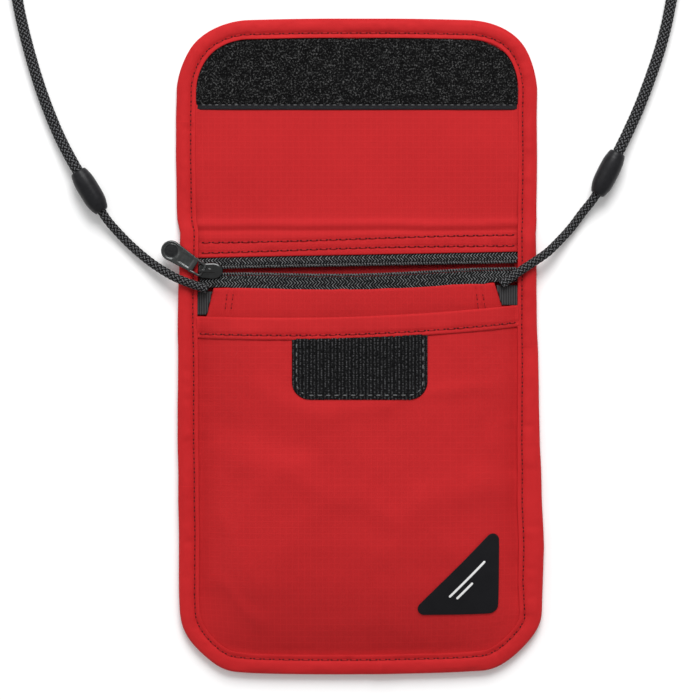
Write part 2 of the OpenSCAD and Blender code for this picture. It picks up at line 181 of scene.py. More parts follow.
def carried_section(name, centre, across, up, a, b, along, round_it, closed=False):
    """A section carried along a path: point = centre(s) + a(s, t) * across(s) + b(s, t) * up(s).
    along and round_it are the distances that the cloth map uses. Open ends are closed with a flat face."""
    nu, nv = a.shape
    points = centre[:, None] + a[..., None] * across[:, None] + b[..., None] * up[:, None]
    faces, cu, cv = grid_quads(nu, nv, closed, True)
    along = np.append(along, 2 * along[-1] - along[-2])
    round_it = np.append(round_it, 2 * round_it[-1] - round_it[-2])
    uvs = np.stack([along[cu], round_it[cv]], 2)
    groups, maps = [faces], [uvs]
    if not closed:
        for row, turn in ((0, 1), (nu - 1, -1)):
            cap = (row * nv + np.arange(nv))[None, ::turn]
            groups.append(cap)
            maps.append(np.stack([np.full((1, nv), along[row]), np.full((1, nv), round_it[0])], 2))
    return write_piece(name, points.reshape(-1, 3), groups, maps)


# %% Paths and frames
def length_along(path):
    """Distance from a path's start to each of its points."""
    return np.append(0, np.cumsum(np.linalg.norm(np.diff(path, axis=0), axis=1)))


def points_at(path, at):
    """Points of a path at the given distances from its start."""
    s = length_along(path)
    return np.stack([np.interp(at, s, path[:, k]) for k in range(path.shape[1])], 1)


def even_path(path, step):
    """The same path with points a fixed distance apart."""
    whole = length_along(path)[-1]
    return points_at(path, np.linspace(0, whole, max(int(round(whole / step)), 2) + 1))


def even_ring(ring, count):
    """A closed path, whose last point is its first, as count points at even steps, and its whole length."""
    whole = length_along(ring)[-1]
    return points_at(ring, np.linspace(0, whole, count, endpoint=False)), whole


def smooth_path(knots, step):
    """A Catmull-Rom curve through the knots: each span is a cubic whose end slopes are half the distance between the
    neighbouring knots. The result has even steps."""
    p = np.vstack([2 * knots[0] - knots[1], knots, 2 * knots[-1] - knots[-2]])
    t = np.linspace(0, 1, 24, endpoint=False)[None, :, None]
    p0, p1, p2, p3 = (p[k:len(p) - 3 + k][:, None] for k in range(4))
    square, cube = 2 * p0 - 5 * p1 + 4 * p2 - p3, 3 * p1 - p0 - 3 * p2 + p3
    curve = 0.5 * (2 * p1 + (p2 - p0) * t + square * t**2 + cube * t**3)
    return even_path(np.vstack([curve.reshape(-1, 3), knots[-1]]), step)


def level_sides(ahead):
    """Sideways and up vectors for headings. Sideways stays level: it is the cross product of up and the heading."""
    side = unit(np.cross([0.0, 0.0, 1.0], ahead))
    return side, np.cross(ahead, side)


def level_frame(path):
    """Sideways and up vectors at each point of a path."""
    return level_sides(unit(np.gradient(path, axis=0)))


# %% Soft noise
def soft_noise(x, y, size_x, size_y, seed):
    """Random heights from -1 to 1 on a lattice, joined by f*f*(3 - 2f), so hollows and swells have no sharp edges."""
    lattice = np.random.RandomState(seed).uniform(-1, 1, (97, 89))
    gx, gy = x / size_x + 40.3, y / size_y + 40.7
    i, j = np.floor(gx).astype(int), np.floor(gy).astype(int)
    fx, fy = gx - i, gy - j
    fx, fy = fx * fx * (3 - 2 * fx), fy * fy * (3 - 2 * fy)
    a, b = lattice[i % 97, j % 89], lattice[(i + 1) % 97, j % 89]
    c, d = lattice[i % 97, (j + 1) % 89], lattice[(i + 1) % 97, (j + 1) % 89]
    return (a * (1 - fx) + b * fx) * (1 - fy) + (c * (1 - fx) + d * fx) * fy


def ease(x, start, end):
    """0 before start, 1 after end, and 3f^2 - 2f^3 between them."""
    f = np.clip((x - start) / (end - start), 0, 1)
    return f * f * (3 - 2 * f)


# %% [markdown]
# ## Node recipes
# A material is a small recipe of nodes. Patterns that more than one finish needs, such as a plain weave, are groups.
# They read the piece's own cloth map, so the pattern bends with the cloth at the fold.

# %% Node helpers
def add_node(tree, kind, inputs=None, **settings):
    """Adds a node. An input that is a socket is linked, and any other value is set."""
    node = tree.nodes.new(kind)
    for key, value in settings.items():
        setattr(node, key, value)
    for key, value in (inputs or {}).items():
        if isinstance(value, bpy.types.NodeSocket):
            tree.links.new(value, node.inputs[key])
        else:
            node.inputs[key].default_value = value
    return node


def calc(tree, operation, *values):
    """One Math node's result."""
    return add_node(tree, "ShaderNodeMath", dict(enumerate(values)), operation=operation).outputs[0]


def ripple(tree, value, factor):
    """|sin(factor * value)|: a row of round ridges."""
    return calc(tree, "ABSOLUTE", calc(tree, "SINE", calc(tree, "MULTIPLY", value, factor)))


def weighed(tree, first, first_share, second, second_share):
    """first * first_share + second * second_share."""
    parts = calc(tree, "MULTIPLY", first, first_share), calc(tree, "MULTIPLY", second, second_share)
    return calc(tree, "ADD", *parts)


def noise(tree, place, scale, detail, **inputs):
    """A noise texture's value."""
    inputs = {"Vector": place, "Scale": scale, "Detail": detail, **inputs}
    return add_node(tree, "ShaderNodeTexNoise", inputs).outputs[0]


def ramp(tree, value, low, high, start=0.0, end=1.0):
    """start where the value is low, end where it is high, and a straight line between them."""
    inputs = {0: value, 1: low, 2: high, 3: start, 4: end}
    return add_node(tree, "ShaderNodeMapRange", inputs, clamp=True).outputs[0]


def parts_of(tree, place):
    """The separate coordinates of a place."""
    return add_node(tree, "ShaderNodeSeparateXYZ", {0: place}).outputs


def blend_colour(tree, factor, first, second):
    """first where factor is 0 and second where it is 1."""
    node = add_node(tree, "ShaderNodeMix", {0: factor}, data_type="RGBA")
    for index, value in ((6, first), (7, second)):
        if isinstance(value, bpy.types.NodeSocket):
            tree.links.new(value, node.inputs[index])
        else:
            node.inputs[index].default_value = (*value, 1)
    return node.outputs[2]


def new_group(name, inputs, outputs):
    """An empty node group with named sockets. It returns the group's tree, its inputs and its output node."""
    tree = bpy.data.node_groups.new(name, "ShaderNodeTree")
    for label, kind in inputs:
        tree.interface.new_socket(name=label, in_out="INPUT", socket_type=kind)
    for label, kind in outputs:
        tree.interface.new_socket(name=label, in_out="OUTPUT", socket_type=kind)
    start, end = tree.nodes.new("NodeGroupInput"), tree.nodes.new("NodeGroupOutput")
    return tree, start.outputs, end


def use_group(tree, group, **inputs):
    """Places a group in a material. Underscores in the argument names stand for spaces."""
    node = tree.nodes.new("ShaderNodeGroup")
    node.node_tree = group
    for key, value in inputs.items():
        key = key.replace("_", " ")
        if isinstance(value, bpy.types.NodeSocket):
            tree.links.new(value, node.inputs[key])
        else:
            node.inputs[key].default_value = value
    return node.outputs


FLOAT, VECTOR, COLOUR = "NodeSocketFloat", "NodeSocketVector", "NodeSocketColor"

# %% [markdown]
# ### Plain weave with strong threads
# Nylon for light bags is a plain weave: each thread goes over one and under the next. Every few millimetres a thicker
# thread stops a tear from running. The height of a thread is |sin|, and a chequer decides which thread is on top.

# %% Weave group
def build_weave():
    """Height of a plain weave with a thicker thread in every Nth place."""
    tree, given, end = new_group(
        "nylon_weave", [("Place", VECTOR), ("Thread", FLOAT), ("Strong every", FLOAT)],
        [("Height", FLOAT), ("Strong", FLOAT)])
    split = parts_of(tree, given["Place"])
    cells = [calc(tree, "DIVIDE", split[k], given["Thread"]) for k in (0, 1)]
    rounds = [ripple(tree, c, math.pi) for c in cells]
    steps = [calc(tree, "FLOOR", c) for c in cells]
    over = calc(tree, "FLOORED_MODULO", calc(tree, "ADD", *steps), 2.0)
    under = calc(tree, "SUBTRACT", 1.0, over)
    woven = weighed(tree, rounds[0], over, rounds[1], under)
    strong = []
    for c in cells:
        place = calc(tree, "FLOORED_MODULO", c, given["Strong every"])
        strong.append(calc(tree, "LESS_THAN", place, 1.0))
    strong = calc(tree, "MAXIMUM", *strong)
    tree.links.new(weighed(tree, woven, 1.0, strong, 0.55), end.inputs["Height"])
    tree.links.new(strong, end.inputs["Strong"])
    return tree


NYLON_WEAVE = build_weave()


# %% Fading group
def build_fading():
    """Slow change of tone over a piece: two sizes of noise move the colour between a lighter and a darker one."""
    tree, given, end = new_group(
        "fading", [("Place", VECTOR), ("Colour", COLOUR), ("Deep colour", COLOUR), ("Size", FLOAT)],
        [("Colour", COLOUR), ("Mask", FLOAT)])
    wide = noise(tree, given["Place"], given["Size"], 3.0)
    fine = noise(tree, given["Place"], calc(tree, "MULTIPLY", given["Size"], 14.0), 2.0)
    spread = ramp(tree, weighed(tree, wide, 0.75, fine, 0.25), 0.3, 0.7)
    tree.links.new(blend_colour(tree, spread, given["Deep colour"], given["Colour"]), end.inputs["Colour"])
    tree.links.new(spread, end.inputs["Mask"])
    return tree


FADING = build_fading()


# %% [markdown]
# ### Herringbone and braid
# Zip tape is woven in herringbone: slanted ribs that turn back in every narrow stripe. A round cord is braided from
# yarns that wind both ways and pass over and under each other, so it is a chequer on slanted coordinates.

# %% Herringbone group
def build_herringbone():
    """Ribs whose slant reverses: |sin(pi * (along + zigzag(across)) / rib)|, with across folded every stripe."""
    tree, given, end = new_group(
        "herringbone", [("Place", VECTOR), ("Rib", FLOAT), ("Stripe", FLOAT)], [("Height", FLOAT)])
    split = parts_of(tree, given["Place"])
    zigzag = calc(tree, "PINGPONG", split[1], given["Stripe"])
    slanted = calc(tree, "DIVIDE", calc(tree, "ADD", split[0], zigzag), given["Rib"])
    tree.links.new(ripple(tree, slanted, math.pi), end.inputs["Height"])
    return tree


HERRINGBONE = build_herringbone()


# %% Braid group
def build_braid():
    """Two sets of yarns wind at a slant. Over is a chequer of the two slanted counts, and a yarn's round is |sin|."""
    tree, given, end = new_group(
        "round_braid", [("Place", VECTOR), ("Turn", FLOAT), ("Round", FLOAT), ("Yarns", FLOAT)],
        [("Height", FLOAT), ("Fibre", FLOAT)])
    split = parts_of(tree, given["Place"])
    along = calc(tree, "DIVIDE", split[0], given["Turn"])
    about = calc(tree, "MULTIPLY", calc(tree, "DIVIDE", split[1], given["Round"]), given["Yarns"])
    left, right = calc(tree, "ADD", about, along), calc(tree, "SUBTRACT", about, along)
    whole = calc(tree, "ADD", calc(tree, "FLOOR", left), calc(tree, "FLOOR", right))
    over = calc(tree, "FLOORED_MODULO", whole, 2.0)
    under = calc(tree, "SUBTRACT", 1.0, over)
    for label, factor in (("Height", math.pi), ("Fibre", 5 * math.pi)):
        ridges = [ripple(tree, c, factor) for c in (left, right)]
        tree.links.new(weighed(tree, ridges[0], over, ridges[1], under), end.inputs[label])
    return tree


ROUND_BRAID = build_braid()


# %% Finish helper
def new_finish(name, **constants):
    """A material with a Principled shader whose constant values are set on its own sockets."""
    material = bpy.data.materials.new(name)
    material.use_nodes = True
    tree = material.node_tree
    shader = tree.nodes["Principled BSDF"]
    for key, value in constants.items():
        shader.inputs[key.replace("_", " ")].default_value = value
    place = add_node(tree, "ShaderNodeUVMap", uv_map="cloth").outputs[0]
    return material, tree, shader, place


def set_relief(tree, shader, height, distance, strength=1.0):
    """Bumps the shader's normal by a height from 0 to 1, times a distance in metres."""
    bump = add_node(tree, "ShaderNodeBump", {"Height": height, "Distance": distance, "Strength": strength})
    tree.links.new(bump.outputs[0], shader.inputs["Normal"])


def set_colour(tree, shader, mask, low, high):
    """Colour from low, where the mask is 0, to high, where it is 1."""
    tree.links.new(blend_colour(tree, mask, low, high), shader.inputs["Base Color"])


def set_gloss(tree, shader, mask, rough, drop):
    """Roughness of rough - drop * mask."""
    tree.links.new(calc(tree, "SUBTRACT", rough, calc(tree, "MULTIPLY", mask, drop)), shader.inputs["Roughness"])


# %% [markdown]
# ### The finishes
# Red nylon has a soft satin sheen. The black parts are all a little different: woven tape, moulded coil, fuzzy loops,
# ribbed hooks, a smooth badge, braided cord and lacquered metal.

# %% Red nylon
def red_nylon(name, colour, deep, thread=0.00028, strong=8.0, sheen=0.03, relief=0.00006):
    """Ripstop cloth: woven relief, strong threads a little lighter, and a slow change of tone."""
    material, tree, shader, place = new_finish(
        name, Sheen_Weight=sheen, Sheen_Roughness=0.4, Sheen_Tint=(1.0, 0.45, 0.42, 1), Specular_IOR_Level=0.12)
    weave = use_group(tree, NYLON_WEAVE, Place=place, Thread=thread, Strong_every=strong)
    tone = use_group(tree, FADING, Place=place, Colour=(*colour, 1), Deep_colour=(*deep, 1), Size=26.0)
    lighter = tuple(min(c * 1.12, 1.0) for c in colour)
    mix = calc(tree, "MULTIPLY", weave["Strong"], 0.35)
    set_colour(tree, shader, mix, tone["Colour"], lighter)
    tree.links.new(ramp(tree, weave["Height"], 0.0, 1.5, 0.68, 0.5), shader.inputs["Roughness"])
    set_relief(tree, shader, weave["Height"], relief)
    return material


CLOTH_RED = red_nylon("red_nylon", (0.522, 0.0164, 0.0192), (0.470, 0.0134, 0.0163))
BINDING_RED = red_nylon(
    "red_binding", (0.545, 0.0166, 0.0194), (0.475, 0.0131, 0.0160), thread=0.00034, strong=400.0)
LINING_RED = red_nylon(
    "red_lining", (0.40, 0.012, 0.015), (0.33, 0.010, 0.012), thread=0.00022, strong=12.0, sheen=0.02)
print("materials:", len(bpy.data.materials))


# %% Red thread
STITCH_UNIT = 3.6      # length that one stitch takes up on the cloth map, whatever its real pitch


def thread_finish(name, colour, deep, needle_hole_shade):
    """Sewing thread: a fine twist along each stitch with painted shade in its grooves, and painted shade at both ends
    where it dives into the needle hole.
    """
    material, tree, shader, place = new_finish(name, Roughness=0.6, Sheen_Weight=0.03, Specular_IOR_Level=0.15)
    split = parts_of(tree, place)
    ridge = ripple(tree, weighed(tree, split[0], 9000.0, split[1], 6000.0), 1.0)
    part = calc(tree, "FLOORED_MODULO", calc(tree, "DIVIDE", split[0], STITCH_UNIT * MM), 1.0)
    from_middle = calc(tree, "ABSOLUTE", calc(tree, "SUBTRACT", part, 0.5))
    hole = ramp(tree, from_middle, 0.20, 0.27)
    # Painted shade: the deep colour darkens the twist's grooves, and the needle-hole colour darkens both ends of each
    # stitch.
    set_colour(tree, shader, hole, blend_colour(tree, ridge, deep, colour), needle_hole_shade)
    set_relief(tree, shader, ridge, 0.00005)
    return material


RED_THREAD = thread_finish("red_thread", (0.42, 0.011, 0.014), (0.30, 0.007, 0.010), (0.045, 0.001, 0.002))
GREY_THREAD = thread_finish("grey_thread", (0.17, 0.175, 0.18), (0.05, 0.05, 0.052), (0.012, 0.012, 0.012))


# %% Black tapes
def zip_tape_finish():
    """Herringbone tape with painted grey highlights (glints) on the tops of its ribs."""
    material, tree, shader, place = new_finish("zip_tape", Sheen_Weight=0.02, Specular_IOR_Level=0.12)
    ribs = use_group(tree, HERRINGBONE, Place=place, Rib=0.00115, Stripe=0.0013)["Height"]
    glint = ramp(tree, noise(tree, place, 900.0, 2.0), 0.38, 0.62, 0.15)
    top = calc(tree, "MULTIPLY", calc(tree, "POWER", ribs, 12.0), glint)
    # Painted highlight: the colour turns grey on the rib tops where the glint noise is high.
    set_colour(tree, shader, top, (0.0010, 0.0010, 0.0012), (0.22, 0.225, 0.23))
    set_gloss(tree, shader, top, 0.75, 0.25)
    set_relief(tree, shader, ribs, 0.00022)
    return material


WEBBING_RIB = 0.9      # width of one rib of the webbing


def webbing_finish():
    """Narrow webbing: ribs along its length and fine threads across them, with painted highlight on the rib tops and
    painted shade in the grooves.
    """
    material, tree, shader, place = new_finish("webbing", Sheen_Weight=0.02, Specular_IOR_Level=0.12)
    split = parts_of(tree, place)
    cross = ripple(tree, split[1], math.pi / (WEBBING_RIB / 2 * MM))
    ribs = ripple(tree, split[0], math.pi / (WEBBING_RIB * MM))
    height = weighed(tree, ribs, 0.7, cross, 0.3)
    # Painted highlight and shade: the colour follows the height, darker in the grooves and lighter on the rib tops.
    set_colour(tree, shader, height, (0.0015, 0.0015, 0.0015), (0.055, 0.055, 0.057))
    set_gloss(tree, shader, height, 0.8, 0.25)
    set_relief(tree, shader, height, 0.0002)
    return material


def fuzzy_finish(name, low, high, size, relief):
    """Loose fibres: noise at two sizes paints lighter fibre tips as painted highlights, and roughens the surface."""
    material, tree, shader, place = new_finish(
        name, Roughness=0.9, Sheen_Weight=0.02, Sheen_Roughness=0.6, Specular_IOR_Level=0.08)
    fuzz = noise(tree, place, size, 5.0, Roughness=0.75)
    clumps = noise(tree, place, size * 0.22, 2.0)
    mixed = calc(tree, "MULTIPLY", fuzz, calc(tree, "MULTIPLY_ADD", clumps, 0.3, 0.85))
    # Painted highlight: lighter specks where the noise is high stand for fibre tips catching the light.
    set_colour(tree, shader, ramp(tree, mixed, 0.53, 0.66), low, high)
    set_relief(tree, shader, fuzz, relief)
    return material


ZIP_TAPE = zip_tape_finish()
WEBBING = webbing_finish()
LOOP_PILE = fuzzy_finish("loop_pile", (0.0012, 0.0012, 0.0014), (0.11, 0.11, 0.11), 1500.0, 0.0004)
SELVEDGE = fuzzy_finish("selvedge", (0.014, 0.014, 0.016), (0.036, 0.036, 0.039), 2200.0, 0.0002)


HOOK_RIB, HOOK_FINE, HOOK_ROW = 2.6, 1.3, 0.8   # widths of the broad ribs, the finer ribs and the rows of hooks


def hook_finish(rib, fine):
    """Rows of stiff hooks: broad ribs of the given width, finer rows between them, and a painted grey highlight on some
    rib tops and hook rows.
    """
    material, tree, shader, place = new_finish("hook_tape", Sheen_Weight=0.0, Specular_IOR_Level=0.12)
    split = parts_of(tree, place)
    broad = calc(tree, "MULTIPLY_ADD", ripple(tree, split[0], math.pi / rib), 0.6, 0.4)
    narrow = calc(tree, "POWER", ripple(tree, split[0], math.pi / fine), 3.0)
    ridge = calc(tree, "MULTIPLY", broad, narrow)
    rows = calc(tree, "ADD", ripple(tree, split[1], math.pi / (HOOK_ROW * MM)), 0.25)
    glints = noise(tree, place, 1500.0, 3.0)
    lit = calc(tree, "MULTIPLY", calc(tree, "MULTIPLY", ridge, ramp(tree, glints, 0.44, 0.62)), rows)
    # Painted highlight: the colour turns grey where the ribs, the hook rows and the glint noise meet.
    set_colour(tree, shader, lit, (0.0015, 0.0015, 0.0018), (0.078, 0.078, 0.082))
    set_gloss(tree, shader, lit, 0.8, 0.4)
    set_relief(tree, shader, weighed(tree, ridge, 1.0, glints, 0.5), 0.0002)
    return material


HOOK_TAPE = hook_finish(HOOK_RIB * MM, HOOK_FINE * MM)


# %% Cord braid, coil, plastic and metal
def braid_finish(name, turn, about, yarns):
    """Braided black cord: fine fibres on each yarn and a painted highlight where a yarn comes up."""
    material, tree, shader, place = new_finish(name, Sheen_Weight=0.02, Specular_IOR_Level=0.14)
    braid = use_group(tree, ROUND_BRAID, Place=place, Turn=turn, Round=about, Yarns=yarns)
    top = calc(tree, "POWER", braid["Height"], 8.0)
    yarn_highlight = calc(tree, "MULTIPLY", top, calc(tree, "MULTIPLY_ADD", braid["Fibre"], 0.6, 0.4))
    # Painted highlight: the colour turns grey on the top of each yarn.
    set_colour(tree, shader, yarn_highlight, (0.0010, 0.0010, 0.0012), (0.15, 0.153, 0.16))
    set_gloss(tree, shader, yarn_highlight, 0.78, 0.3)
    set_relief(tree, shader, weighed(tree, braid["Height"], 0.8, braid["Fibre"], 0.2), 0.00018)
    return material


def hard_finish(name, low, high, rough, size, relief, **constants):
    """A smooth hard surface with slight mottling of its colour and gloss. It reads Object coordinates."""
    material, tree, shader, _ = new_finish(name, **constants)
    place = add_node(tree, "ShaderNodeTexCoord").outputs["Object"]
    mottling = noise(tree, place, size, 4.0)
    set_colour(tree, shader, mottling, low, high)
    tree.links.new(ramp(tree, mottling, 0.3, 0.7, *rough), shader.inputs["Roughness"])
    set_relief(tree, shader, mottling, relief)
    return material


COIL_NYLON = hard_finish(
    "coil_nylon", (0.020, 0.020, 0.022), (0.110, 0.112, 0.116), (0.2, 0.36), 900.0, 0.00002)
FERRULE_BLACK = hard_finish(
    "ferrule_black", (0.007, 0.007, 0.008), (0.014, 0.014, 0.016), (0.3, 0.46), 700.0, 0.00003,
    Specular_IOR_Level=0.16)
BADGE_BLACK = hard_finish(
    "badge_black", (0.0065, 0.0065, 0.0080), (0.0095, 0.0095, 0.011), (0.4, 0.52), 260.0, 0.00003,
    Specular_IOR_Level=0.1)
BADGE_WHITE = hard_finish(
    "badge_white", (0.70, 0.70, 0.70), (0.82, 0.82, 0.82), (0.45, 0.6), 900.0, 0.00001)
GUNMETAL = hard_finish(
    "gunmetal", (0.036, 0.038, 0.038), (0.070, 0.073, 0.073), (0.2, 0.34), 800.0, 0.00002,
    Metallic=0.8, Coat_Weight=0.2)
# Painted shade: the hollow's floor is much darker than the gunmetal to stand for the shade of a deeper hollow. It is
# also rougher.
HOLLOW_SHADE_METAL = hard_finish(
    "hollow_shade_metal", (0.004, 0.004, 0.005), (0.030, 0.031, 0.032), (0.5, 0.8), 1900.0, 0.0001,
    Specular_IOR_Level=0.05)
SLIDER_METAL = hard_finish(
    "slider_lacquer", (0.014, 0.015, 0.015), (0.030, 0.031, 0.031), (0.14, 0.26), 800.0, 0.00002,
    Metallic=0.8, Coat_Weight=0.4)
NECK_D, END_D = 4.2, 3.3
NECK_YARNS, END_YARNS = 7, 6
BRAID_TURN = 1.9       # cord length in which a yarn moves on by one place
NECK_BRAID = braid_finish("neck_braid", BRAID_TURN * MM, math.pi * NECK_D * MM, float(NECK_YARNS))
END_BRAID = braid_finish("end_braid", BRAID_TURN * MM, math.pi * END_D * MM, float(END_YARNS))
print("materials:", len(bpy.data.materials))


def finish_piece(piece, material, body="pouch", stands_for=()):
    """Gives a piece its material, lets it ride on its body, and hides the CAD parts that it stands for."""
    piece.data.materials.append(material)
    if body:
        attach(piece, body)
    if stands_for:
        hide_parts(*stands_for)
    return piece


def second_finish(piece, material, chosen):
    """Gives a second material to the faces for which chosen(centres in mm) is true."""
    piece.data.materials.append(material)
    centres = np.zeros(len(piece.data.polygons) * 3)
    piece.data.polygons.foreach_get("center", centres)
    faces = chosen(centres.reshape(-1, 3) / MM)
    piece.data.polygons.foreach_set("material_index", faces.astype(np.int32))


# %% [markdown]
# ## Cords
# The neck cord is one braided cord. It leaves the left ferrule, runs up past the flap, is wound in two turns beyond the
# top, and comes back down to the right ferrule. Two thinner cords run from the ferrules to the webbing tabs.
# The braid could be only a pattern, but its yarns stand out on the real cord, so they are in the mesh as well.

# %% Cord routes
END_LEFT = np.array([
    [-96.9, 52.5, 4], [-94, 47.5, 3.2], [-90, 42.7, 2.1], [-84.5, 37.1, 1.8], [-78.5, 32, 2.5],
    [-73.3, 28.4, 3.9], [-68, 25.4, 5], [-62.5, 23.2, 5.1], [-56, 21, 5.7]])
END_RIGHT = np.array([
    [89.9, 58.7, 4], [87.1, 54.3, 3.2], [83.4, 49.6, 2.1], [79.3, 44.1, 1.8], [74.8, 39.2, 3],
    [70.2, 34.8, 4.9], [64.8, 31, 5.1], [59.4, 27.4, 5.1], [53, 22.6, 5.7]])
NECK_LEFT = np.array([
    [-103, 62.8, 4], [-106.2, 68, 3.6], [-110.5, 76, 2.5], [-114.5, 85, 2.1], [-118.6, 96, 2.1],
    [-122, 107, 2.1], [-124.9, 118, 2.1], [-127.1, 128.4, 2.1], [-128.6, 139, 2.1], [-128.3, 150, 2.1],
    [-125, 161, 2.1], [-118, 171, 2.1], [-108, 179.5, 2.1], [-96, 185, 2.1], [-82, 188, 2.1],
    [-66, 189.2, 2.1], [-50, 189.2, 2.1], [-34, 189.2, 2.1], [-19, 189.2, 2.1]])
NECK_RIGHT = np.array([
    [95.2, 69.4, 4], [97.8, 74.5, 3.6], [101, 81, 2.5], [104.8, 89.5, 2.1], [108.6, 99.5, 2.1],
    [112, 109.5, 2.1], [114.6, 119, 2.1], [116.5, 128.4, 2.1], [118.2, 139, 2.1], [118, 150, 2.1],
    [115.3, 160.5, 2.1], [109, 170, 2.1], [99, 178, 2.1], [86, 184, 2.1], [72, 187.5, 2.1],
    [56, 189, 2.1], [40, 189.2, 2.1]])


def wound_turns():
    """Two turns about the coil's middle, clockwise from the top. The radius shrinks by one cord over the first turn
    and grows by one over the second, and the height climbs one cord while the first turn ends."""
    middle, outer, inner = np.array([-5.0, 164.0]), 25.2, 21.0
    turn = np.linspace(0, 2, 61)
    radius = np.where(turn < 1, outer + (inner - outer) * turn, inner + (outer - inner) * (turn - 1))
    height = NECK_D * (0.5 + ease(turn, 1 - 1 / 6, 1 + 1 / 6))
    angle = 2 * np.pi * turn
    return np.stack([middle[0] + radius * np.sin(angle), middle[1] + radius * np.cos(angle), height], 1)


WAY_OUT = np.array([[6.0, 189.2, 6.1], [16.0, 189.2, 4.8], [26.0, 189.2, 3.0]])
neck_knots = np.vstack([NECK_LEFT, wound_turns(), WAY_OUT, NECK_RIGHT[::-1]])


# %% Braided tube
def braided_cord(name, path, diameter, yarns, sides):
    """A tube round the path. Its radius is r - depth * (1 - |sin|) of whichever yarn is on top, with the same slanted
    counts as the braid pattern."""
    side, up = level_frame(path)
    s = length_along(path)
    angle = full_turn(sides)
    about = yarns * angle[None] / (2 * np.pi)
    left, right = about + s[:, None] / BRAID_TURN, about - s[:, None] / BRAID_TURN
    over = (np.floor(left) + np.floor(right)) % 2
    bulge = np.where(over > 0.5, np.abs(np.sin(np.pi * left)), np.abs(np.sin(np.pi * right)))
    depth = 0.075 * diameter
    radius = diameter / 2 + 0.1 * depth - depth * (1 - bulge)
    return carried_section(
        name, path, side, up, radius * np.cos(angle), radius * np.sin(angle), s, angle * diameter / 2)


neck_path = smooth_path(neck_knots, 0.4)
neck_cord = finish_piece(
    braided_cord("neck_cord", neck_path, NECK_D, NECK_YARNS, 32), NECK_BRAID,
    stands_for=["neck_cord_left", "neck_cord_right", "neck_cord_coil"])
end_paths = {"left": smooth_path(END_LEFT, 0.3), "right": smooth_path(END_RIGHT, 0.3)}
for side_name, path in end_paths.items():
    finish_piece(
        braided_cord(f"end_cord_{side_name}_braid", path, END_D, END_YARNS, 28), END_BRAID,
        stands_for=[f"end_cord_{side_name}"])
print("neck cord", round(length_along(neck_path)[-1]), "mm; end cords",
      [round(length_along(p)[-1]) for p in end_paths.values()])

# %% [markdown]
# ## Ferrules
# A moulded barrel joins a thick and a thin cord on each side. It is a turned shape: one profile carried round an axis.
# Its lips roll inwards to the cords, and it closes on the axis inside, where nothing shows.

# %% Ferrule barrels
FERRULE_HALF, FERRULE_R = 8.35, 4.0
BORE_DEEP = 5.5        # the bores end this far from the barrel's middle


def ferrule_barrel(name, centre, turn):
    """Radius along the barrel: lip + (full - lip) * (1 - |x / half|^3.2), with a rolled lip and a short bore."""
    x = np.linspace(-1, 1, 41)
    thin_end, thick_end = 2.6, 3.0
    lip = np.where(x < 0, thin_end, thick_end)
    wall = lip + (FERRULE_R - lip) * (1 - np.abs(x) ** 3.2)
    grooves = 0.1 * (bell(x + 0.78, 0.03) + bell(x - 0.78, 0.03))
    rolled = 0.25 + 0.9 * np.array([0.0, 0.12, 0.3])
    bore_x = np.array([FERRULE_HALF - 0.1, BORE_DEEP, BORE_DEEP])
    lip_x = np.full(3, FERRULE_HALF + 0.25)
    along = np.concatenate([-bore_x[::-1], -lip_x, x * FERRULE_HALF, lip_x, bore_x])
    radius = np.concatenate([[0.02, 1.6, 1.7], thin_end - rolled[::-1], wall - grooves,
                             thick_end - rolled, [2.15, 2.1, 0.02]])
    heading = np.array([math.cos(math.radians(turn)), math.sin(math.radians(turn)), 0.0])
    side = np.array([-heading[1], heading[0], 0.0])
    angle = full_turn(64)
    path = centre + along[:, None] * heading
    a, b = radius[:, None] * np.cos(angle), radius[:, None] * np.sin(angle)
    sides, ups = np.tile(side, (len(path), 1)), np.tile([0.0, 0.0, 1.0], (len(path), 1))
    return carried_section(name, path, sides, ups, a, b, along, angle * FERRULE_R)


for side_name, centre, turn in (("left", (-100, 57.6, 4.0), 121.0), ("right", (92.6, 64.2, 4.0), 63.5)):
    finish_piece(
        ferrule_barrel(f"ferrule_{side_name}_barrel", np.array(centre), turn), FERRULE_BLACK,
        stands_for=[f"ferrule_{side_name}"])


# %% [markdown]
# ## The pouch's plan
# All the sheets share one outline, a rectangle with large round corners. A sheet could be cut from a square grid, but
# then its edge would be ragged. Here every row of the grid is as wide as the outline is at that height, and the rows
# crowd together round the corners, so the edge is smooth.

# %% Outline
HALF_W, HALF_L, TOP_R, FOOT_R = 68.0, 121.5, 27.0, 22.0
TUCK = 1.6             # how far a sheet's edge stays inside the folded tape


def inset_of(x, y):
    """Distance in from the outline: r - |max(q, 0)| - min(max(qx, qy), 0), where q is measured from a corner's middle."""
    r = np.where(y > 0, TOP_R, FOOT_R)
    qx, qy = np.abs(x) - (HALF_W - r), np.abs(y) - (HALF_L - r)
    return r - np.hypot(np.maximum(qx, 0), np.maximum(qy, 0)) - np.minimum(np.maximum(qx, qy), 0)


def pocket_inset(x, y):
    """The same round the foot, but straight up both sides past the zip."""
    return np.where(y > 0, HALF_W - np.abs(x), inset_of(x, y))


def half_width(y, inset):
    """Half the sheet's width at a height: straight, then straight part + sqrt(r^2 - d^2) round a corner."""
    radius = np.where(y > 0, TOP_R, FOOT_R)
    r = radius - inset
    d = np.clip(np.abs(y) - (HALF_L - radius), 0, r)
    return HALF_W - radius + np.sqrt(r * r - d * d)


def graded(*stops):
    """Rows between stops: graded(0, 1, 10, 0.5, 20) steps by 1 from 0 to 10 and by 0.5 from 10 to 20."""
    parts = []
    for start, step, end in zip(stops[0:-2:2], stops[1:-1:2], stops[2::2]):
        parts.append(np.linspace(start, end, max(int(round((end - start) / step)), 1) + 1)[:-1])
    return np.append(np.concatenate(parts), stops[-1])


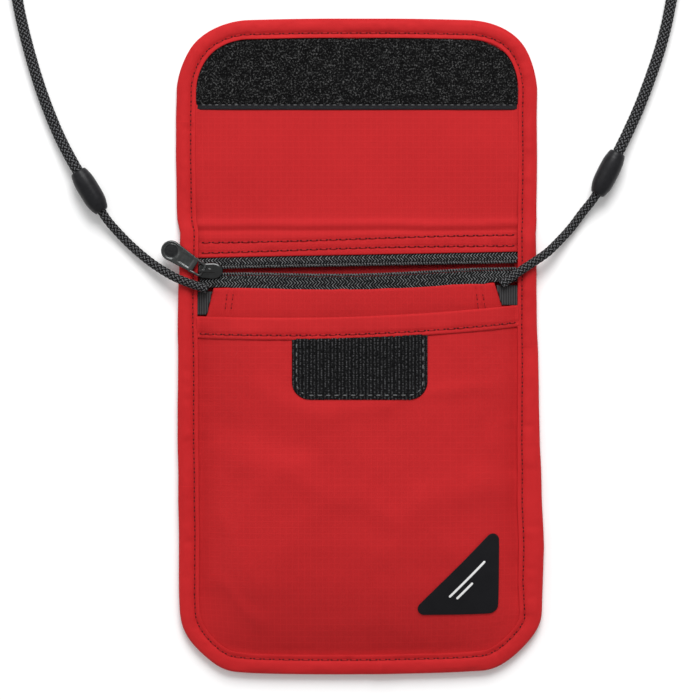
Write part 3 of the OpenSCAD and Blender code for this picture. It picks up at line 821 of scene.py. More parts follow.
def corner_rows(inset, foot, count=14):
    """Rows round the foot's or the flap's corners: end - r * (1 - cos), so that they crowd where the edge is level."""
    r = (FOOT_R if foot else TOP_R) - inset
    turn = np.linspace(0, np.pi / 2, count)
    rows = HALF_L - inset - r * (1 - np.cos(turn))
    return -rows if foot else rows[::-1]


def plan_grid(rows, inset, columns):
    """Plan of a sheet: x = u * half width at the row, for u from -1 to 1."""
    x = np.linspace(-1, 1, columns)[:, None] * half_width(rows, inset)[None]
    return x, np.broadcast_to(rows[None], x.shape).copy()


# %% [markdown]
# A sewn edge is never a straight line. The sides wander a millimetre or two in slow curves, and every sheet has to
# wander with them, so one function moves them all. The rigid zip and the middle of the pouch stay where they are.

# %% Wandering sides
DRIFT_ROWS = [-121, -95, -75, -55, -20, 20, 42, 47, 70, 96, 121]
DRIFT_LEFT = [-0.8, -1.0, -1.0, -0.8, -0.5, -0.7, -1.3, -0.4, 0.1, 0.0, -0.8]
DRIFT_RIGHT = [0.0, 0.6, 1.2, 0.4, -0.7, -1.6, -2.0, -1.5, -1.3, -1.5, -2.0]


def wander(points):
    """Moves points sideways by a curve of y, with weight 0 in the middle and 1 at the edge. The flap's end and the
    foot bow. A bump of exp(-(distance / width)^2) fills out the flap's corners, and another draws in the foot's."""
    x, y = points[..., 0], points[..., 1]
    slow = 0.25 * soft_noise(y, x * 0, 11.0, 1.0, 5)
    left = -np.interp(y, DRIFT_ROWS, DRIFT_LEFT) + slow
    right = np.interp(y, DRIFT_ROWS, DRIFT_RIGHT) + slow
    flap_bow = (0.7 - 1.3 * np.clip((np.abs(x) - 8) / 50, 0, 1) ** 2) * ease(y, 92, 116)
    foot_bow = np.clip(1 - ((x + 8) / 50) ** 2, 0, 1) * ease(-y, 92, 116)
    fuller = np.where(x < 0, 0.8, 1.2) * bell(np.hypot(np.abs(x) - 60.0, y - 113.5), 11.0)
    tighter = 1.6 * bell(np.hypot(np.abs(x) - 58.5, y + 113.0), 12.0)
    moved = points.copy()
    moved[..., 0] += np.where(x < 0, left, right) * ease(np.abs(x), 46, 67) + np.sign(x) * (fuller - tighter)
    moved[..., 1] += flap_bow - foot_bow + fuller + tighter
    return moved


def cloth(name, x, y, z, thick, material, stands_for=(), body="pouch"):
    """One sheet of cloth from its plan and its height, with its sides wandering."""
    top = wander(np.stack([x, y, z], 2))
    piece = cloth_sheet(name, top, thick, np.stack([x, y], 2))
    finish_piece(piece, material, body, stands_for)
    return piece


def flap_wave(x, y):
    """The open flap lies a little unevenly: a swell of up to half a millimetre, from the fold upwards."""
    return 0.28 * (1 + soft_noise(x, y, 34.0, 27.0, 11)) * ease(y, 50, 74)


# %% [markdown]
# ## Back cloth
# One piece of nylon runs from the foot to the end of the flap. It lies on the table in the middle and steps up into the
# folded tape at its edge. It crosses the fold.

# %% Back cloth
SEAM_EDGE, SEAM_CLEAR = 7.2, 9.6   # a layer steps down from the folded tape between these distances from the edge


def bend_at_fold(piece):
    """Moves the piece's placement into its mesh points and leaves the object at the origin."""
    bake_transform(piece)


def flatten_with_zip(piece):
    """Gives the piece a mesh of its own."""
    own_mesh(piece)


all_rows = np.concatenate([
    corner_rows(TUCK, True)[:-1], graded(-99.5, 1.5, 34, 0.8, 54, 1.5, 94.5), corner_rows(TUCK, False)[1:]])
x, y = plan_grid(all_rows, TUCK, 100)
back_top = 0.45 + 0.6 * (1 - ease(inset_of(x, y), SEAM_EDGE, SEAM_CLEAR)) + flap_wave(x, y)
back = cloth("back_cloth", x, y, back_top, 0.43, CLOTH_RED,
             ["back_panel", "flap_panel"], body=None)
bend_at_fold(back)
print("back cloth rows", len(all_rows))

# %% [markdown]
# ## Front of the pockets
# The two pocket fronts rise from the tape over the room inside the pockets. The height is the product of a rise from
# the sides and a rise from the foot, so the mound has no edge where the two meet. Over that lie slack folds. Cloth
# simulation could make them, but the pockets have to keep the room that the frame gives them, so the folds are drawn
# as long low swells, each with its own line, height and width.

# %% Heights of the fronts
TAPE_ROWS = [-125, -104, -88, -60, -20, 15, 40, 125]
TAPE_LEFT = [0.0, 0.2, 0.6, 0.7, 0.6, 0.2, 0.0, 0.0]
TAPE_RIGHT = [0.0, 0.4, 1.8, 1.9, 1.0, 0.3, 0.0, 0.0]


def extra_tape(x, y):
    """How much wider the folded tape is than its usual width, mostly along the lower right side."""
    return np.where(x < 0, np.interp(y, TAPE_ROWS, TAPE_LEFT), np.interp(y, TAPE_ROWS, TAPE_RIGHT))


SEAM_IN, SIDE_RISE, FOOT_RISE = 8.0, 25.0, 40.0   # mm in from the edge, and how long the two rises are
LINING_Z, PANEL_Z, SLIP_Z = (1.66, 7.66), (2.2, 8.2), (2.7, 13.3)   # heights at the seam and on the flat middle
FOLDS = [  # height and width of each swell, and the points of its line
    (0.75, 6.0, [(-40, -43), (-24, -47), (-15, -58), (1, -56), (15, -65), (28, -56), (45, -50), (63, -52)]),
    (0.60, 5.5, [(-36, -53), (-47, -69), (-45, -82), (-37, -89)]),
    (0.50, 3.4, [(10, -22), (28, -18), (43, -16), (63, -15)]),
    (0.60, 5.0, [(-43, 2), (-40, -12), (-29, -21), (-10, -25), (8, -22)]),
    (0.65, 4.2, [(-59, -85), (-47, -91), (-37, -103)]),
    (0.35, 3.2, [(-54, -38), (-53, -66)]),
    (-0.55, 7.0, [(-52, -28), (-40, -34), (-20, -36)]),
    (-0.40, 6.5, [(-20, -78), (4, -84), (30, -80)]),
    (0.40, 5.0, [(34, 4), (44, -8), (58, -10)]),
    (-0.35, 5.0, [(50, -26), (42, -40), (52, -44)]),
    (0.35, 4.0, [(-12, -104), (8, -100), (16, -106)])]


def rise(x, y):
    """0 at the seam and 1 on the flat middle: the product of 1 - (1 - t)^1.7 from each side and from the foot."""
    from_side = np.clip((HALF_W - np.abs(x) - SEAM_IN - extra_tape(x, y)) / SIDE_RISE, 0, 1)
    from_foot = np.clip((y + HALF_L - SEAM_IN) / FOOT_RISE, 0, 1)
    mound = (1 - (1 - from_side) ** 1.7) * (1 - (1 - from_foot) ** 1.7)
    return mound * ease(pocket_inset(x, y), 5.5, 10.0)


def line_distance(x, y, line):
    """Distance to the nearest of a line's straight parts, each as |p - (start + t * part)| with t kept from 0 to 1."""
    nearest = np.full(np.shape(x), 1e3)
    for (x0, y0), (x1, y1) in zip(line[:-1], line[1:]):
        part_x, part_y = x1 - x0, y1 - y0
        t = np.clip(((x - x0) * part_x + (y - y0) * part_y) / (part_x**2 + part_y**2), 0, 1)
        nearest = np.minimum(nearest, np.hypot(x - x0 - t * part_x, y - y0 - t * part_y))
    return nearest


def front_folds(x, y):
    """Each swell is height * exp(-(distance to its line / width)^2). Puckers run square to the seams and fade inwards."""
    z = 0.20 * soft_noise(x, y, 13.0, 17.0, 21) + 0.10 * soft_noise(x, y, 5.0, 6.5, 22)
    bend_x, bend_y = x + 2.2 * soft_noise(x, y, 12.0, 12.0, 25), y + 2.2 * soft_noise(x, y, 12.0, 12.0, 26)
    for height, width, line in FOLDS:
        z = z + height * bell(line_distance(bend_x, bend_y, line), width)
    edge = pocket_inset(x, y)
    sides = soft_noise(x, y, 15.0, 3.6, 23) * ease(y, -112, -98)
    foot = soft_noise(x, y, 3.6, 15.0, 24) * (1 - ease(y, -112, -98))
    puckers = 0.24 * (sides + foot) * bell(edge - 8.5, 4.5)
    return z * ease(edge, 7.5, 20.0) + puckers * ease(edge, 6.5, 8.5)


def front_height(x, y, seam, flat, slack=1.0):
    """Upper side of a pocket front."""
    return seam + (flat - seam) * rise(x, y) + slack * front_folds(x, y)


def mouth_y(x):
    """Top edge of the slip pocket: tilted, and sagging a little in its middle."""
    return 10.9 + 0.035 * x + 0.00064 * x * x


ZIP_Y = 29.0


def zip_y(x):
    """The zip's centre line, tilted by 1.1 degrees."""
    return ZIP_Y + 0.0192 * x


def zip_sag(x):
    """The free lower edge of the zip's mouth hangs down in its middle."""
    return 1.4 * np.clip(1 - (x / 52.0) ** 2, 0, 1) ** 2


def slip_top(x, y):
    """Upper side of the slip pocket's front, which the hem, the hook patch and the badge follow."""
    return front_height(x, y, *SLIP_Z)


# %% Linings
LINING_TOP_HALF = 59.0     # half the rear lining's width beside the zip
top_share = LINING_TOP_HALF / (HALF_W - TUCK)
lining_rows = np.concatenate([corner_rows(TUCK, True)[:-1], graded(-99.5, 2.5, 18, 1.5, 37)])
x, y = plan_grid(lining_rows, TUCK, 60)
x = x * (top_share + (1 - top_share) * (1 - ease(y, 20, 25)))
rear_top = 0.78 + 0.6 * (1 - ease(inset_of(x, y), SEAM_EDGE, SEAM_CLEAR)) * (1 - ease(y, 20, 25))
rear = cloth("rear_lining_cloth", x, y, rear_top, 0.27, LINING_RED, ["rear_lining"])

lining_rows = np.concatenate([corner_rows(TUCK, True)[:-1], graded(-99.5, 2.5, 10.5)])
x, y = plan_grid(lining_rows, TUCK, 70)
lining_z = front_height(x, y, *LINING_Z, 0.8)
front = cloth("front_lining_cloth", x, y, lining_z, 0.25, LINING_RED, ["front_lining"])
flatten_with_zip(front)

# %% [markdown]
# ## Zipped pocket's front
# Only a strip of it shows, between the zip's lower tape and the slip pocket. Its sides slant in where the webbing tabs
# fill the openings.

# %% Zipped pocket's front
PANEL_DROP = 6.4       # from the zip's centre line down to the top edge of the cloth


def panel_top(x):
    """Top edge of the zipped pocket's front."""
    return zip_y(x) - PANEL_DROP - zip_sag(x)


# Seams where the panel's end pieces are sewn on: x at the top and at the foot of the strip that shows.
END_SEAMS = [(-48.8, -49.9), (-46.4, -47.7), (43.6, 44.7), (45.8, 47.7)]
SEAM_TOP, SEAM_FOOT = 20.6, 11.0


def seam_x(y, seam):
    """A straight seam: x goes from its foot value to its top value."""
    return seam[1] + (seam[0] - seam[1]) * (y - SEAM_FOOT) / (SEAM_TOP - SEAM_FOOT)


SLANT_FROM, PANEL_END = 4, 22      # heights where the sides begin to slant and where the last row is
panel_rows = np.concatenate([corner_rows(TUCK, True)[:-1], graded(-99.5, 2.5, SLANT_FROM, 0.7, PANEL_END)])
x, y = plan_grid(panel_rows, TUCK, 240)
u = x / half_width(y, TUCK)
left_edge = np.interp(y, [7, 11, PANEL_END], [-66.4, -57.0, -54.2])
right_edge = np.interp(y, [10, 15, PANEL_END], [66.4, 53.4, 50.6])
x = np.where(y > SLANT_FROM, np.where(u < 0, -u * left_edge, u * right_edge), x)
stretched = SLANT_FROM + (y - SLANT_FROM) * (panel_top(x) - SLANT_FROM) / (PANEL_END - SLANT_FROM)
y = np.where(y > SLANT_FROM, stretched, y)
zip_panel_z = front_height(x, y, *PANEL_Z, 0.8) - 0.25 * ease(y, panel_top(x) - 0.9, panel_top(x))
for seam in END_SEAMS:
    groove = 0.28 * bell(x - seam_x(y, seam), 0.5) * ease(y, 5, 8)
    zip_panel_z -= groove * (1 - ease(y, panel_top(x) - 2.4, panel_top(x) - 0.9))
zip_panel = cloth("zip_pocket_cloth", x, y, zip_panel_z, 0.45, CLOTH_RED, ["zip_pocket_panel"])
flatten_with_zip(zip_panel)

# %% Slip pocket's front
LEVEL_TO, SLIP_END = -20, 12       # the rows are level up to here, and then spread out to the tilted mouth
slip_rows = np.concatenate([corner_rows(TUCK, True, 18)[:-1], graded(-99.5, 1.0, SLIP_END)])
x, y = plan_grid(slip_rows, TUCK, 134)
spread = LEVEL_TO + (y - LEVEL_TO) * (mouth_y(x) - 0.15 - LEVEL_TO) / (SLIP_END - LEVEL_TO)
y = np.where(y > LEVEL_TO, spread, y)
slip = cloth("slip_pocket_cloth", x, y, slip_top(x, y), 0.45, CLOTH_RED, ["slip_pocket_panel"])

# %% [markdown]
# ## Hem
# The top of the slip pocket is turned and stitched, so it is a second layer on the front. Its upper edge is a fold and
# rolls over. Its lower edge is pulled down a little by the stitch row.

# %% Hem
HEM_W, HEM_ROW, HEM_ABOVE = 8.3, 6.5, 0.6   # its width, its stitch row down from the mouth, and its height on the front
HEM_HALF = 60.9
x, t = np.meshgrid(np.linspace(-HEM_HALF, HEM_HALF, 190), np.linspace(0, 1, 22), indexing="ij")
y = mouth_y(x) - HEM_W * (1 - t)
from_row = (1 - t) * HEM_W - HEM_ROW
hem_dip = 0.32 * bell(from_row, 0.75) + 0.3 * (1 - ease(t * HEM_W, 0.0, 0.9))
hem_pucker = 0.15 * soft_noise(x, y, 2.4, 5.0, 31) * bell(from_row, 2.5)
hem_roll = 0.1 * np.sin(np.pi * t) - 0.45 * ease(t, 0.93, 1.0)
hem_z = slip_top(x, y) + HEM_ABOVE - hem_dip + hem_pucker + hem_roll
hem = cloth("slip_pocket_hem_fold", x, y, hem_z, 0.62, CLOTH_RED, ["slip_pocket_hem"])
print("fronts:", [len(o.data.polygons) for o in (front, zip_panel, slip, hem)])

# %% [markdown]
# ## Facing
# A facing runs from the zip's upper tape over the fold to the end of the flap. It has two stitch rows below the fold
# and a soft crease on it.

# %% Facing
ROW_YS = (40.0, 36.3)


def facing_row(x, k):
    """Line of a stitch row: it rises to the right like the zip, and wavers a little."""
    return ROW_YS[k] + 0.35 * np.sin(x / 23.0 + k) + 0.021 * x


def facing_flat(y):
    """Height of the facing before its dips and waves: it steps down at the fold, where the pockets end."""
    return 1.7 - 0.7 * ease(y, 40, 50)


FACING_IN = 3.0                    # the facing's edge, in from the outline
FACING_FOOT, TILT_TO = 34, 53      # its first row, and where its rows stop following the zip's tilt
facing_rows = np.concatenate([
    graded(FACING_FOOT, 0.5, TILT_TO, 1.3, 94.5), corner_rows(FACING_IN, False, 16)[1:]])
x, y = plan_grid(facing_rows, FACING_IN, 126)
lower_edge = zip_y(x) + 5.0
tilted = lower_edge + (y - FACING_FOOT) * (TILT_TO - lower_edge) / (TILT_TO - FACING_FOOT)
y = np.where(y < TILT_TO, tilted, y)
crease = y - 45.6 - 0.5 * soft_noise(x, x * 0, 16.0, 1.0, 41)
facing_z = facing_flat(y) + flap_wave(x, y)
facing_z += 0.45 * bell(crease, 1.4) - 0.35 * bell(crease + 2.6, 1.0)
facing_z += 0.45 * (1 - ease(inset_of(x, y), 7.4, 9.8)) * ease(y, 46, 56)
facing_z += 0.10 * soft_noise(x, y, 11.0, 9.0, 42) * ease(y, 37, 55)
for k in (0, 1):
    facing_z -= 0.24 * bell(y - facing_row(x, k), 0.65)
facing_z += 0.16 * soft_noise(x, y, 2.6, 4.0, 43) * bell(y - 38.2, 3.0)
facing_z += 0.16 * soft_noise(x, y, 16.0, 4.0, 44) * bell(np.abs(x) - 58, 6.0) * ease(y, 50, 60)
facing = cloth("front_facing_cloth", x, y, facing_z, 0.42, CLOTH_RED,
               ["zip_facing", "flap_facing"], body=None)
bend_at_fold(facing)

# %% [markdown]
# ## Folded edge tape
# A tape is folded over every raw edge and sewn through. It is one section carried round the outline: under, round the
# outer edge, over the top and back along its own inside. The top puffs up between the edge and the stitch row, and the
# stitches pull it down.

# %% Edge tape
def outline_path(count):
    """Points at even steps round the outline, anticlockwise from the middle of the right side, and its length."""
    turn = np.linspace(0, np.pi / 2, 60)
    arcs = []
    for k, (sx, sy, r) in enumerate(((1, 1, TOP_R), (-1, 1, TOP_R), (-1, -1, FOOT_R), (1, -1, FOOT_R))):
        angle = turn + k * np.pi / 2
        middle = np.array([sx * (HALF_W - r), sy * (HALF_L - r)])
        arcs.append(middle + r * np.stack([np.cos(angle), np.sin(angle)], 1))
    ring = np.vstack([[HALF_W, 0], *arcs, [HALF_W, 0]])
    return even_ring(np.column_stack([ring, np.zeros(len(ring))]), count)


ring, ring_length = outline_path(1300)
ring_s = np.linspace(0, ring_length, len(ring), endpoint=False)
ring_in, ring_up = level_sides(unit(np.roll(ring, -1, axis=0) - np.roll(ring, 1, axis=0)))
SEWN_IN = 5.5          # the stitch row's distance from the outer edge


def tape_top(at, inset):
    """Height of the tape's upper side over its flat height: puffed between the edge and the stitches, dipped at the
    stitches, with puckers square to the row. It repeats after one round of the outline."""
    around = 2 * np.pi * at / ring_length
    puff = 0.42 * np.sin(np.pi * np.clip((inset - 0.4) / (SEWN_IN - 0.4), 0, 1))
    dip = 0.40 * bell(inset - SEWN_IN, 0.75)
    fine = 0.17 * soft_noise(at, inset, ring_length / 270, 2.6, 51)
    broad = 0.2 * soft_noise(at, inset, ring_length / 90, 9.0, 52)
    slow = 0.12 * np.sin(9 * around + 1.0) * np.sin(4 * around)
    return puff - dip + (fine + broad + slow) * np.sin(np.pi * np.clip(inset / 7.0, 0, 1)) ** 0.5


def tape_flat(y):
    """Height of the tape over the table: three sheets more in the pouch than in the flap."""
    return 3.3 - 1.1 * ease(y, 39, 50)


# The section starts under the tape, turns round the nose at the outer edge and comes back over the top. Then it goes
# down and runs back inside the fold, so that the tape is a closed band with an upper and a lower leg.
nose = np.linspace(-np.pi / 2, np.pi / 2, 9)
over_s = np.array([1.6, 2.4, 3.2, 4.0, 4.6, 5.0, 5.3, 5.6, 5.9, 6.4, 6.9, 7.2])
under_s = over_s[::-1][::2]
lip_s, inside_s = [7.3, 7.3], [7.1, 5.5, 3.4, 1.6]
section_s = np.concatenate([
    under_s, 1.0 - np.cos(nose), over_s, lip_s, inside_s, [1.3, 1.3], inside_s[::-1], lip_s])
flat_z = tape_flat(ring[:, 1])[:, None]
n_under, n_over = len(under_s), len(over_s)


def level_row(height, count=1):
    """The same height all round the outline, for a number of the section's points."""
    return np.full((len(ring), count), height)


top_z = flat_z + tape_top(ring_s[:, None], over_s[None])
nose_z = flat_z * (0.5 + 0.5 * np.sin(nose))[None]
edge_z = top_z[:, -1:]
inside_top = flat_z - 0.6
section_z = np.hstack([
    level_row(0.02, n_under), nose_z, top_z, edge_z - 0.1, edge_z - 0.5, np.tile(inside_top, 4), inside_top - 0.2,
    level_row(0.8), level_row(0.6, 4), level_row(0.5), level_row(0.1)])
join = 0.28 * ease(ring[:, 0], 4.4, 5.2) * (1 - ease(ring[:, 0], 10, 20)) * (ring[:, 1] < -100)
section_z[:, n_under + 4:n_under + 9 + n_over] += join[:, None]
wider = extra_tape(ring[:, 0], ring[:, 1])
section_s = section_s[None] + wider[:, None] * ease(section_s, 2.4, 5.3)[None]
moved = wander(ring[:, None] + section_s[..., None] * ring_in[:, None] + section_z[..., None] * ring_up[:, None])
middle = moved.mean(1)
across = np.einsum("ijk,ik->ij", moved - middle[:, None], ring_in)
rising = moved[..., 2] - middle[:, None, 2]
around_it = np.append(0, np.cumsum(np.hypot(np.diff(section_s[0]), np.diff(section_z[0]))))
edge_tape = carried_section(
    "edge_tape", middle, ring_in, ring_up, across, rising, ring_s, around_it, closed=True)
finish_piece(edge_tape, BINDING_RED, None, ["body_binding", "flap_binding"])
bend_at_fold(edge_tape)
print("edge tape", round(ring_length), "mm round,", len(edge_tape.data.polygons), "faces")

# %% [markdown]
# ## Stitches
# A lockstitch shows as a row of short thread humps that dive into the cloth at both ends. There are hundreds, so each
# is a closed grain of a few dozen faces, and one function lays a whole row along a path.

# %% Stitch rows
STITCH_DIVE = 0.16     # how far a stitch's ends go down


def stitch_row(name, path, pitch, length, radius, material, slot, body="pouch", lift=0.0):
    """Grains along a path. Ring k of a grain lies at length * cos from its middle, with radius * sin, and is lowered by
    the square of that distance, so that its ends dive. On the cloth map every stitch takes up one STITCH_UNIT."""
    whole = length_along(path)[-1]
    count = int(whole / pitch)
    at = (np.arange(count) + 0.5) * whole / count
    place = points_at(path, at)
    ahead = unit(points_at(path, np.minimum(at + 0.4, whole)) - points_at(path, np.maximum(at - 0.4, 0)))
    rings, sides = 5, 6
    tilt = np.linspace(0.18, np.pi - 0.18, rings)[:, None]
    angle = full_turn(sides)
    girth = radius * np.sin(tilt) ** 0.35
    along = np.tile(length / 2 * np.cos(tilt), sides)
    dive = STITCH_DIVE * np.tile(np.cos(tilt), sides) ** 2
    grain = np.stack([along, girth * np.cos(angle), girth * np.sin(angle) - dive + lift], 2).reshape(-1, 3)
    frames = np.stack([ahead, *level_sides(ahead)], 1)
    points = (place[:, None] + np.einsum("gk,nkc->ngc", grain, frames)).reshape(-1, 3)
    first = np.arange(count)[:, None] * rings * sides
    quads = grid_quads(rings, sides, False, True)[0]
    groups = [(first[:, :, None] + quads[None]).reshape(-1, 4)]
    ends = [np.arange(sides)[::-1], (rings - 1) * sides + np.arange(sides)]
    groups += [first + e[None] for e in ends]
    order = np.repeat(np.arange(count) + 0.5, rings * sides)
    one_map = np.stack([grain[:, 0] * STITCH_UNIT / pitch, grain[:, 1]], 1)
    flat = np.stack([order * STITCH_UNIT, order * 0], 1) + np.tile(one_map, (count, 1))
    piece = write_piece(name, points, groups, [flat[g] for g in groups])
    return finish_piece(piece, material, body)


def on_cloth(x, y, z):
    """A path on a sheet, with the sheet's wandering."""
    return wander(np.stack([x, y, z], 1))


sewn = ring + (SEWN_IN + wider)[:, None] * ring_in
sewn_height = tape_flat(ring[:, 1]) + tape_top(ring_s, np.full_like(ring_s, SEWN_IN)) + join
sewn_top = sewn + sewn_height[:, None] * ring_up
sewn_top = wander(np.vstack([sewn_top, sewn_top[:1]]))
sewn_low = wander(np.vstack([sewn, sewn[:1]]) + np.array([0, 0, 0.12]))
SEWN = (3.6, 3.35, 0.3)            # pitch, length and radius of a stitch
for name, path, lift in (("edge_stitches_top", sewn_top, 0.12), ("edge_stitches_back", sewn_low, -0.02)):
    bend_at_fold(stitch_row(name, path, *SEWN, RED_THREAD, "red_binding", body=None, lift=lift))

line = np.linspace(-59.6, 59.6, 160)
for k in (0, 1):
    rows_y = facing_row(line, k)
    height = facing_flat(rows_y) - 0.15
    bend_at_fold(stitch_row(f"facing_stitches_{k + 1}", on_cloth(line, rows_y, height), *SEWN,
                            RED_THREAD, "red_nylon", body=None, lift=0.12))

hem_line_y = mouth_y(line) - HEM_ROW
hem_line_z = slip_top(line, hem_line_y) + HEM_ABOVE - 0.24
stitch_row("hem_stitches", on_cloth(line, hem_line_y, hem_line_z), *SEWN, RED_THREAD, "red_nylon", lift=0.12)
for k, seam in enumerate(END_SEAMS):
    down_y = np.linspace(SEAM_TOP - 0.9, SEAM_FOOT + 2.2, 14)
    down_x = seam_x(down_y, seam)
    down_z = front_height(down_x, down_y, *PANEL_Z, 0.8) - 0.2
    flatten_with_zip(stitch_row(f"panel_end_stitches_{k + 1}", on_cloth(down_x, down_y, down_z), 2.6, 2.3, 0.2,
                                RED_THREAD, "red_nylon", lift=0.1))
print("stitch rows laid")

# %% [markdown]
# ## Zip
# The tapes and coils lie on the zip's own line, which is tilted by 1.1 degrees. A nylon coil is one wire wound like a
# flattened spring, so it is a round section carried along a squashed helix. The upper coil is sewn down. The lower one
# rises over the open mouth.

# %% Zip's own coordinates
ZIP_TILT = math.radians(1.1)
COIL_Y, COIL_Z, COIL_PITCH, ZIP_END = 1.3, 2.5, 1.0, 58.7


def from_zip(x, y, z):
    """Turns places on the zip's line to places on the pouch."""
    c, s = math.cos(ZIP_TILT), math.sin(ZIP_TILT)
    return np.stack([x * c - y * s, ZIP_Y + x * s + y * c, z + 0 * x], -1)


def gape(x):
    """0 where the lower coil lies at the slider's height, and 1 where the mouth stands open."""
    return 1 - ease(np.abs(x), 37.0, 50.0)


def low_sag(x):
    """How far the lower coil hangs down from its straight line."""
    return zip_sag(x) * gape(x)


def low_lift(x):
    """How far the lower coil rises over the open mouth."""
    return 5.5 * gape(x)


def tape_piece(name, x, y, z, stands_for):
    """One side's tape: a thin sheet in the zip's own coordinates."""
    z = z + 0.05 * soft_noise(x, y, 6.0, 4.0, 61 if y.mean() > 0 else 62)
    piece = cloth_sheet(name, from_zip(x, y, z), 0.38, np.stack([x, y], 2))
    return finish_piece(piece, ZIP_TAPE, "pouch", stands_for)


# %% Upper tape
x, y = np.meshgrid(np.linspace(-60.4, 60.4, 200), np.linspace(1.9, 8.0, 16), indexing="ij")
tape_z = np.interp(y, [1.9, 3.2, 4.9, 8.0], [2.72, 2.68, 1.22, 1.18])
upper_tape = tape_piece("upper_tape_weave", x, y, tape_z, ["upper_zip_tape"])

# %% Lower tape
x, t = np.meshgrid(np.linspace(-59.2, 59.2, 200), np.linspace(0, 1, 16), indexing="ij")
down = (4.3 + 4.0 * gape(x)) * t       # the tape is wider where the mouth stands open
y = -1.9 - low_sag(x) - down
coil_side = 2.72 + 5.1 * gape(x)
under_panel = front_height(x, zip_y(x) - PANEL_DROP - 1.0, *PANEL_Z, 0.8) - 0.55
share = ease(down, 0.4, 4.2)
tape_z = coil_side * (1 - share) + np.minimum(under_panel, 7.72) * share
lower_tape = tape_piece("lower_tape_weave", x, y, tape_z, ["lower_zip_tape"])
flatten_with_zip(lower_tape)


# %% Coils
COIL_WIDE, COIL_HIGH, WIRE_R = 0.46, 0.44, 0.25


def coil_place(x, upper):
    """Middle of a coil at each x: the upper one is straight, and the lower one sags and lifts with the mouth."""
    if upper:
        return COIL_Y + 0 * x, COIL_Z + 0 * x
    return -COIL_Y - low_sag(x), COIL_Z + low_lift(x)


def oval_tube(name, path, across, up, half, sides, along):
    """An oval section, half[0] to each side and half[1] up and down, carried along a path."""
    section = full_turn(sides)
    a, b = (np.tile(h * wave(section), (len(path), 1)) for h, wave in zip(half, (np.cos, np.sin)))
    return carried_section(name, path, across, up, a, b, along, section * half[1])


def coil_wire(name, upper, stands_for):
    """A wire carried along y = middle + wide * cos(turn), z = middle + high * sin(turn), which moves on by one pitch a
    turn. The frame follows the wire: sideways is the cross product of its heading and the zip's line."""
    turns = 2 * ZIP_END / COIL_PITCH
    angle = np.linspace(0, 2 * np.pi * turns, int(turns * 12))
    x = -ZIP_END + COIL_PITCH * angle / (2 * np.pi)
    y, z = coil_place(x, upper)
    path = from_zip(x, y + COIL_WIDE * np.cos(angle), z + COIL_HIGH * np.sin(angle))
    ahead = unit(np.gradient(path, axis=0))
    across = unit(np.cross(ahead, [math.cos(ZIP_TILT), math.sin(ZIP_TILT), 0.0]))
    up = np.cross(ahead, across)
    piece = oval_tube(name, path, across, up, (WIRE_R, WIRE_R), 7, length_along(path))
    return finish_piece(piece, COIL_NYLON, "pouch", stands_for)


def coil_core(name, upper):
    """The cord inside a coil: a narrow oval carried along its middle."""
    x = np.linspace(-ZIP_END, ZIP_END, 160)
    path = from_zip(x, *coil_place(x, upper))
    piece = oval_tube(name, path, *level_frame(path), (0.5, 0.3), 10, x)
    return finish_piece(piece, ZIP_TAPE, "pouch")


coil_wire("upper_coil_teeth", True, ["upper_zip_coil"])
coil_core("upper_coil_core", True)
flatten_with_zip(coil_wire("lower_coil_teeth", False, ["lower_zip_coil"]))
flatten_with_zip(coil_core("lower_coil_core", False))
print("coils wound,", round(2 * ZIP_END / COIL_PITCH), "turns each")

# %% [markdown]
# ## Slider
# A slider is two plates held apart by a wedge, with a bridge on top. The plates are domed lozenges: rings that shrink
# from the rim to the middle. The bridge is a tapered strap that arches over the puller's crossbar.

# %% Joining shapes
def joined(name, shapes):
    """Several closed shapes in one piece, each (points, faces, uvs), turned to face outwards on its own."""
    points, faces, uvs, offset = [], [], [], 0
    for p, f, u in shapes:
        if signed_volume(p, f) < 0:
            f, u = [g[:, ::-1] for g in f], [m[:, ::-1] for m in u]
        points.append(p)
        faces += [g + offset for g in f]
        uvs += u
        offset += len(p)
    return write_piece(name, np.concatenate(points), faces, uvs)


def closed_rings(rings):
    """Rings of points, stacked (n, m, 3) and closed at both ends on their middles, as one shape."""
    n, m = rings.shape[:2]
    points = np.vstack([rings.reshape(-1, 3), rings[0].mean(0), rings[-1].mean(0)])
    quads = grid_quads(n, m, False, True)[0]
    k = np.arange(m)
    start = np.stack([np.full(m, n * m), (k + 1) % m, k], 1)
    finish = np.stack([np.full(m, n * m + 1), (n - 1) * m + k, (n - 1) * m + (k + 1) % m], 1)
    faces = [quads, start, finish]
    return points, faces, [points[f][..., :2] for f in faces]


def rounded_plate(half_x, half_y, low, high, edge, dome, taper):
    """A lozenge: |x / a|^n + |y / b|^n = 1, squarer on the left than on the right and narrower at its left end. Its
    rings have a rolled rim, and the upper side is a dome that falls by the square of the distance."""
    angle = full_turn(72)
    c, s = np.cos(angle), np.sin(angle)
    n = np.where(c < 0, 5.0, 2.3)
    reach = (np.abs(c) ** n + np.abs(s) ** n) ** (-1 / n)
    x, y = half_x * c * reach, half_y * s * reach
    y = y * (1 - taper * (1 - x / half_x) / 2)
    rim_from = 1 - edge / half_y
    shrink = np.array([0.05, 0.35, 0.7, rim_from, 1 - 0.3 * edge / half_y, 1.0])
    under = low + 0.3 * edge * (shrink > 0.99)
    over = high + dome * (1 - shrink**2) - edge * np.maximum(shrink - rim_from, 0) / (1 - rim_from)
    sizes, heights = np.append(shrink, shrink[::-1]), np.append(under, over[::-1])
    return np.stack([sizes[:, None] * x, sizes[:, None] * y, heights[:, None] + 0 * x], 2)


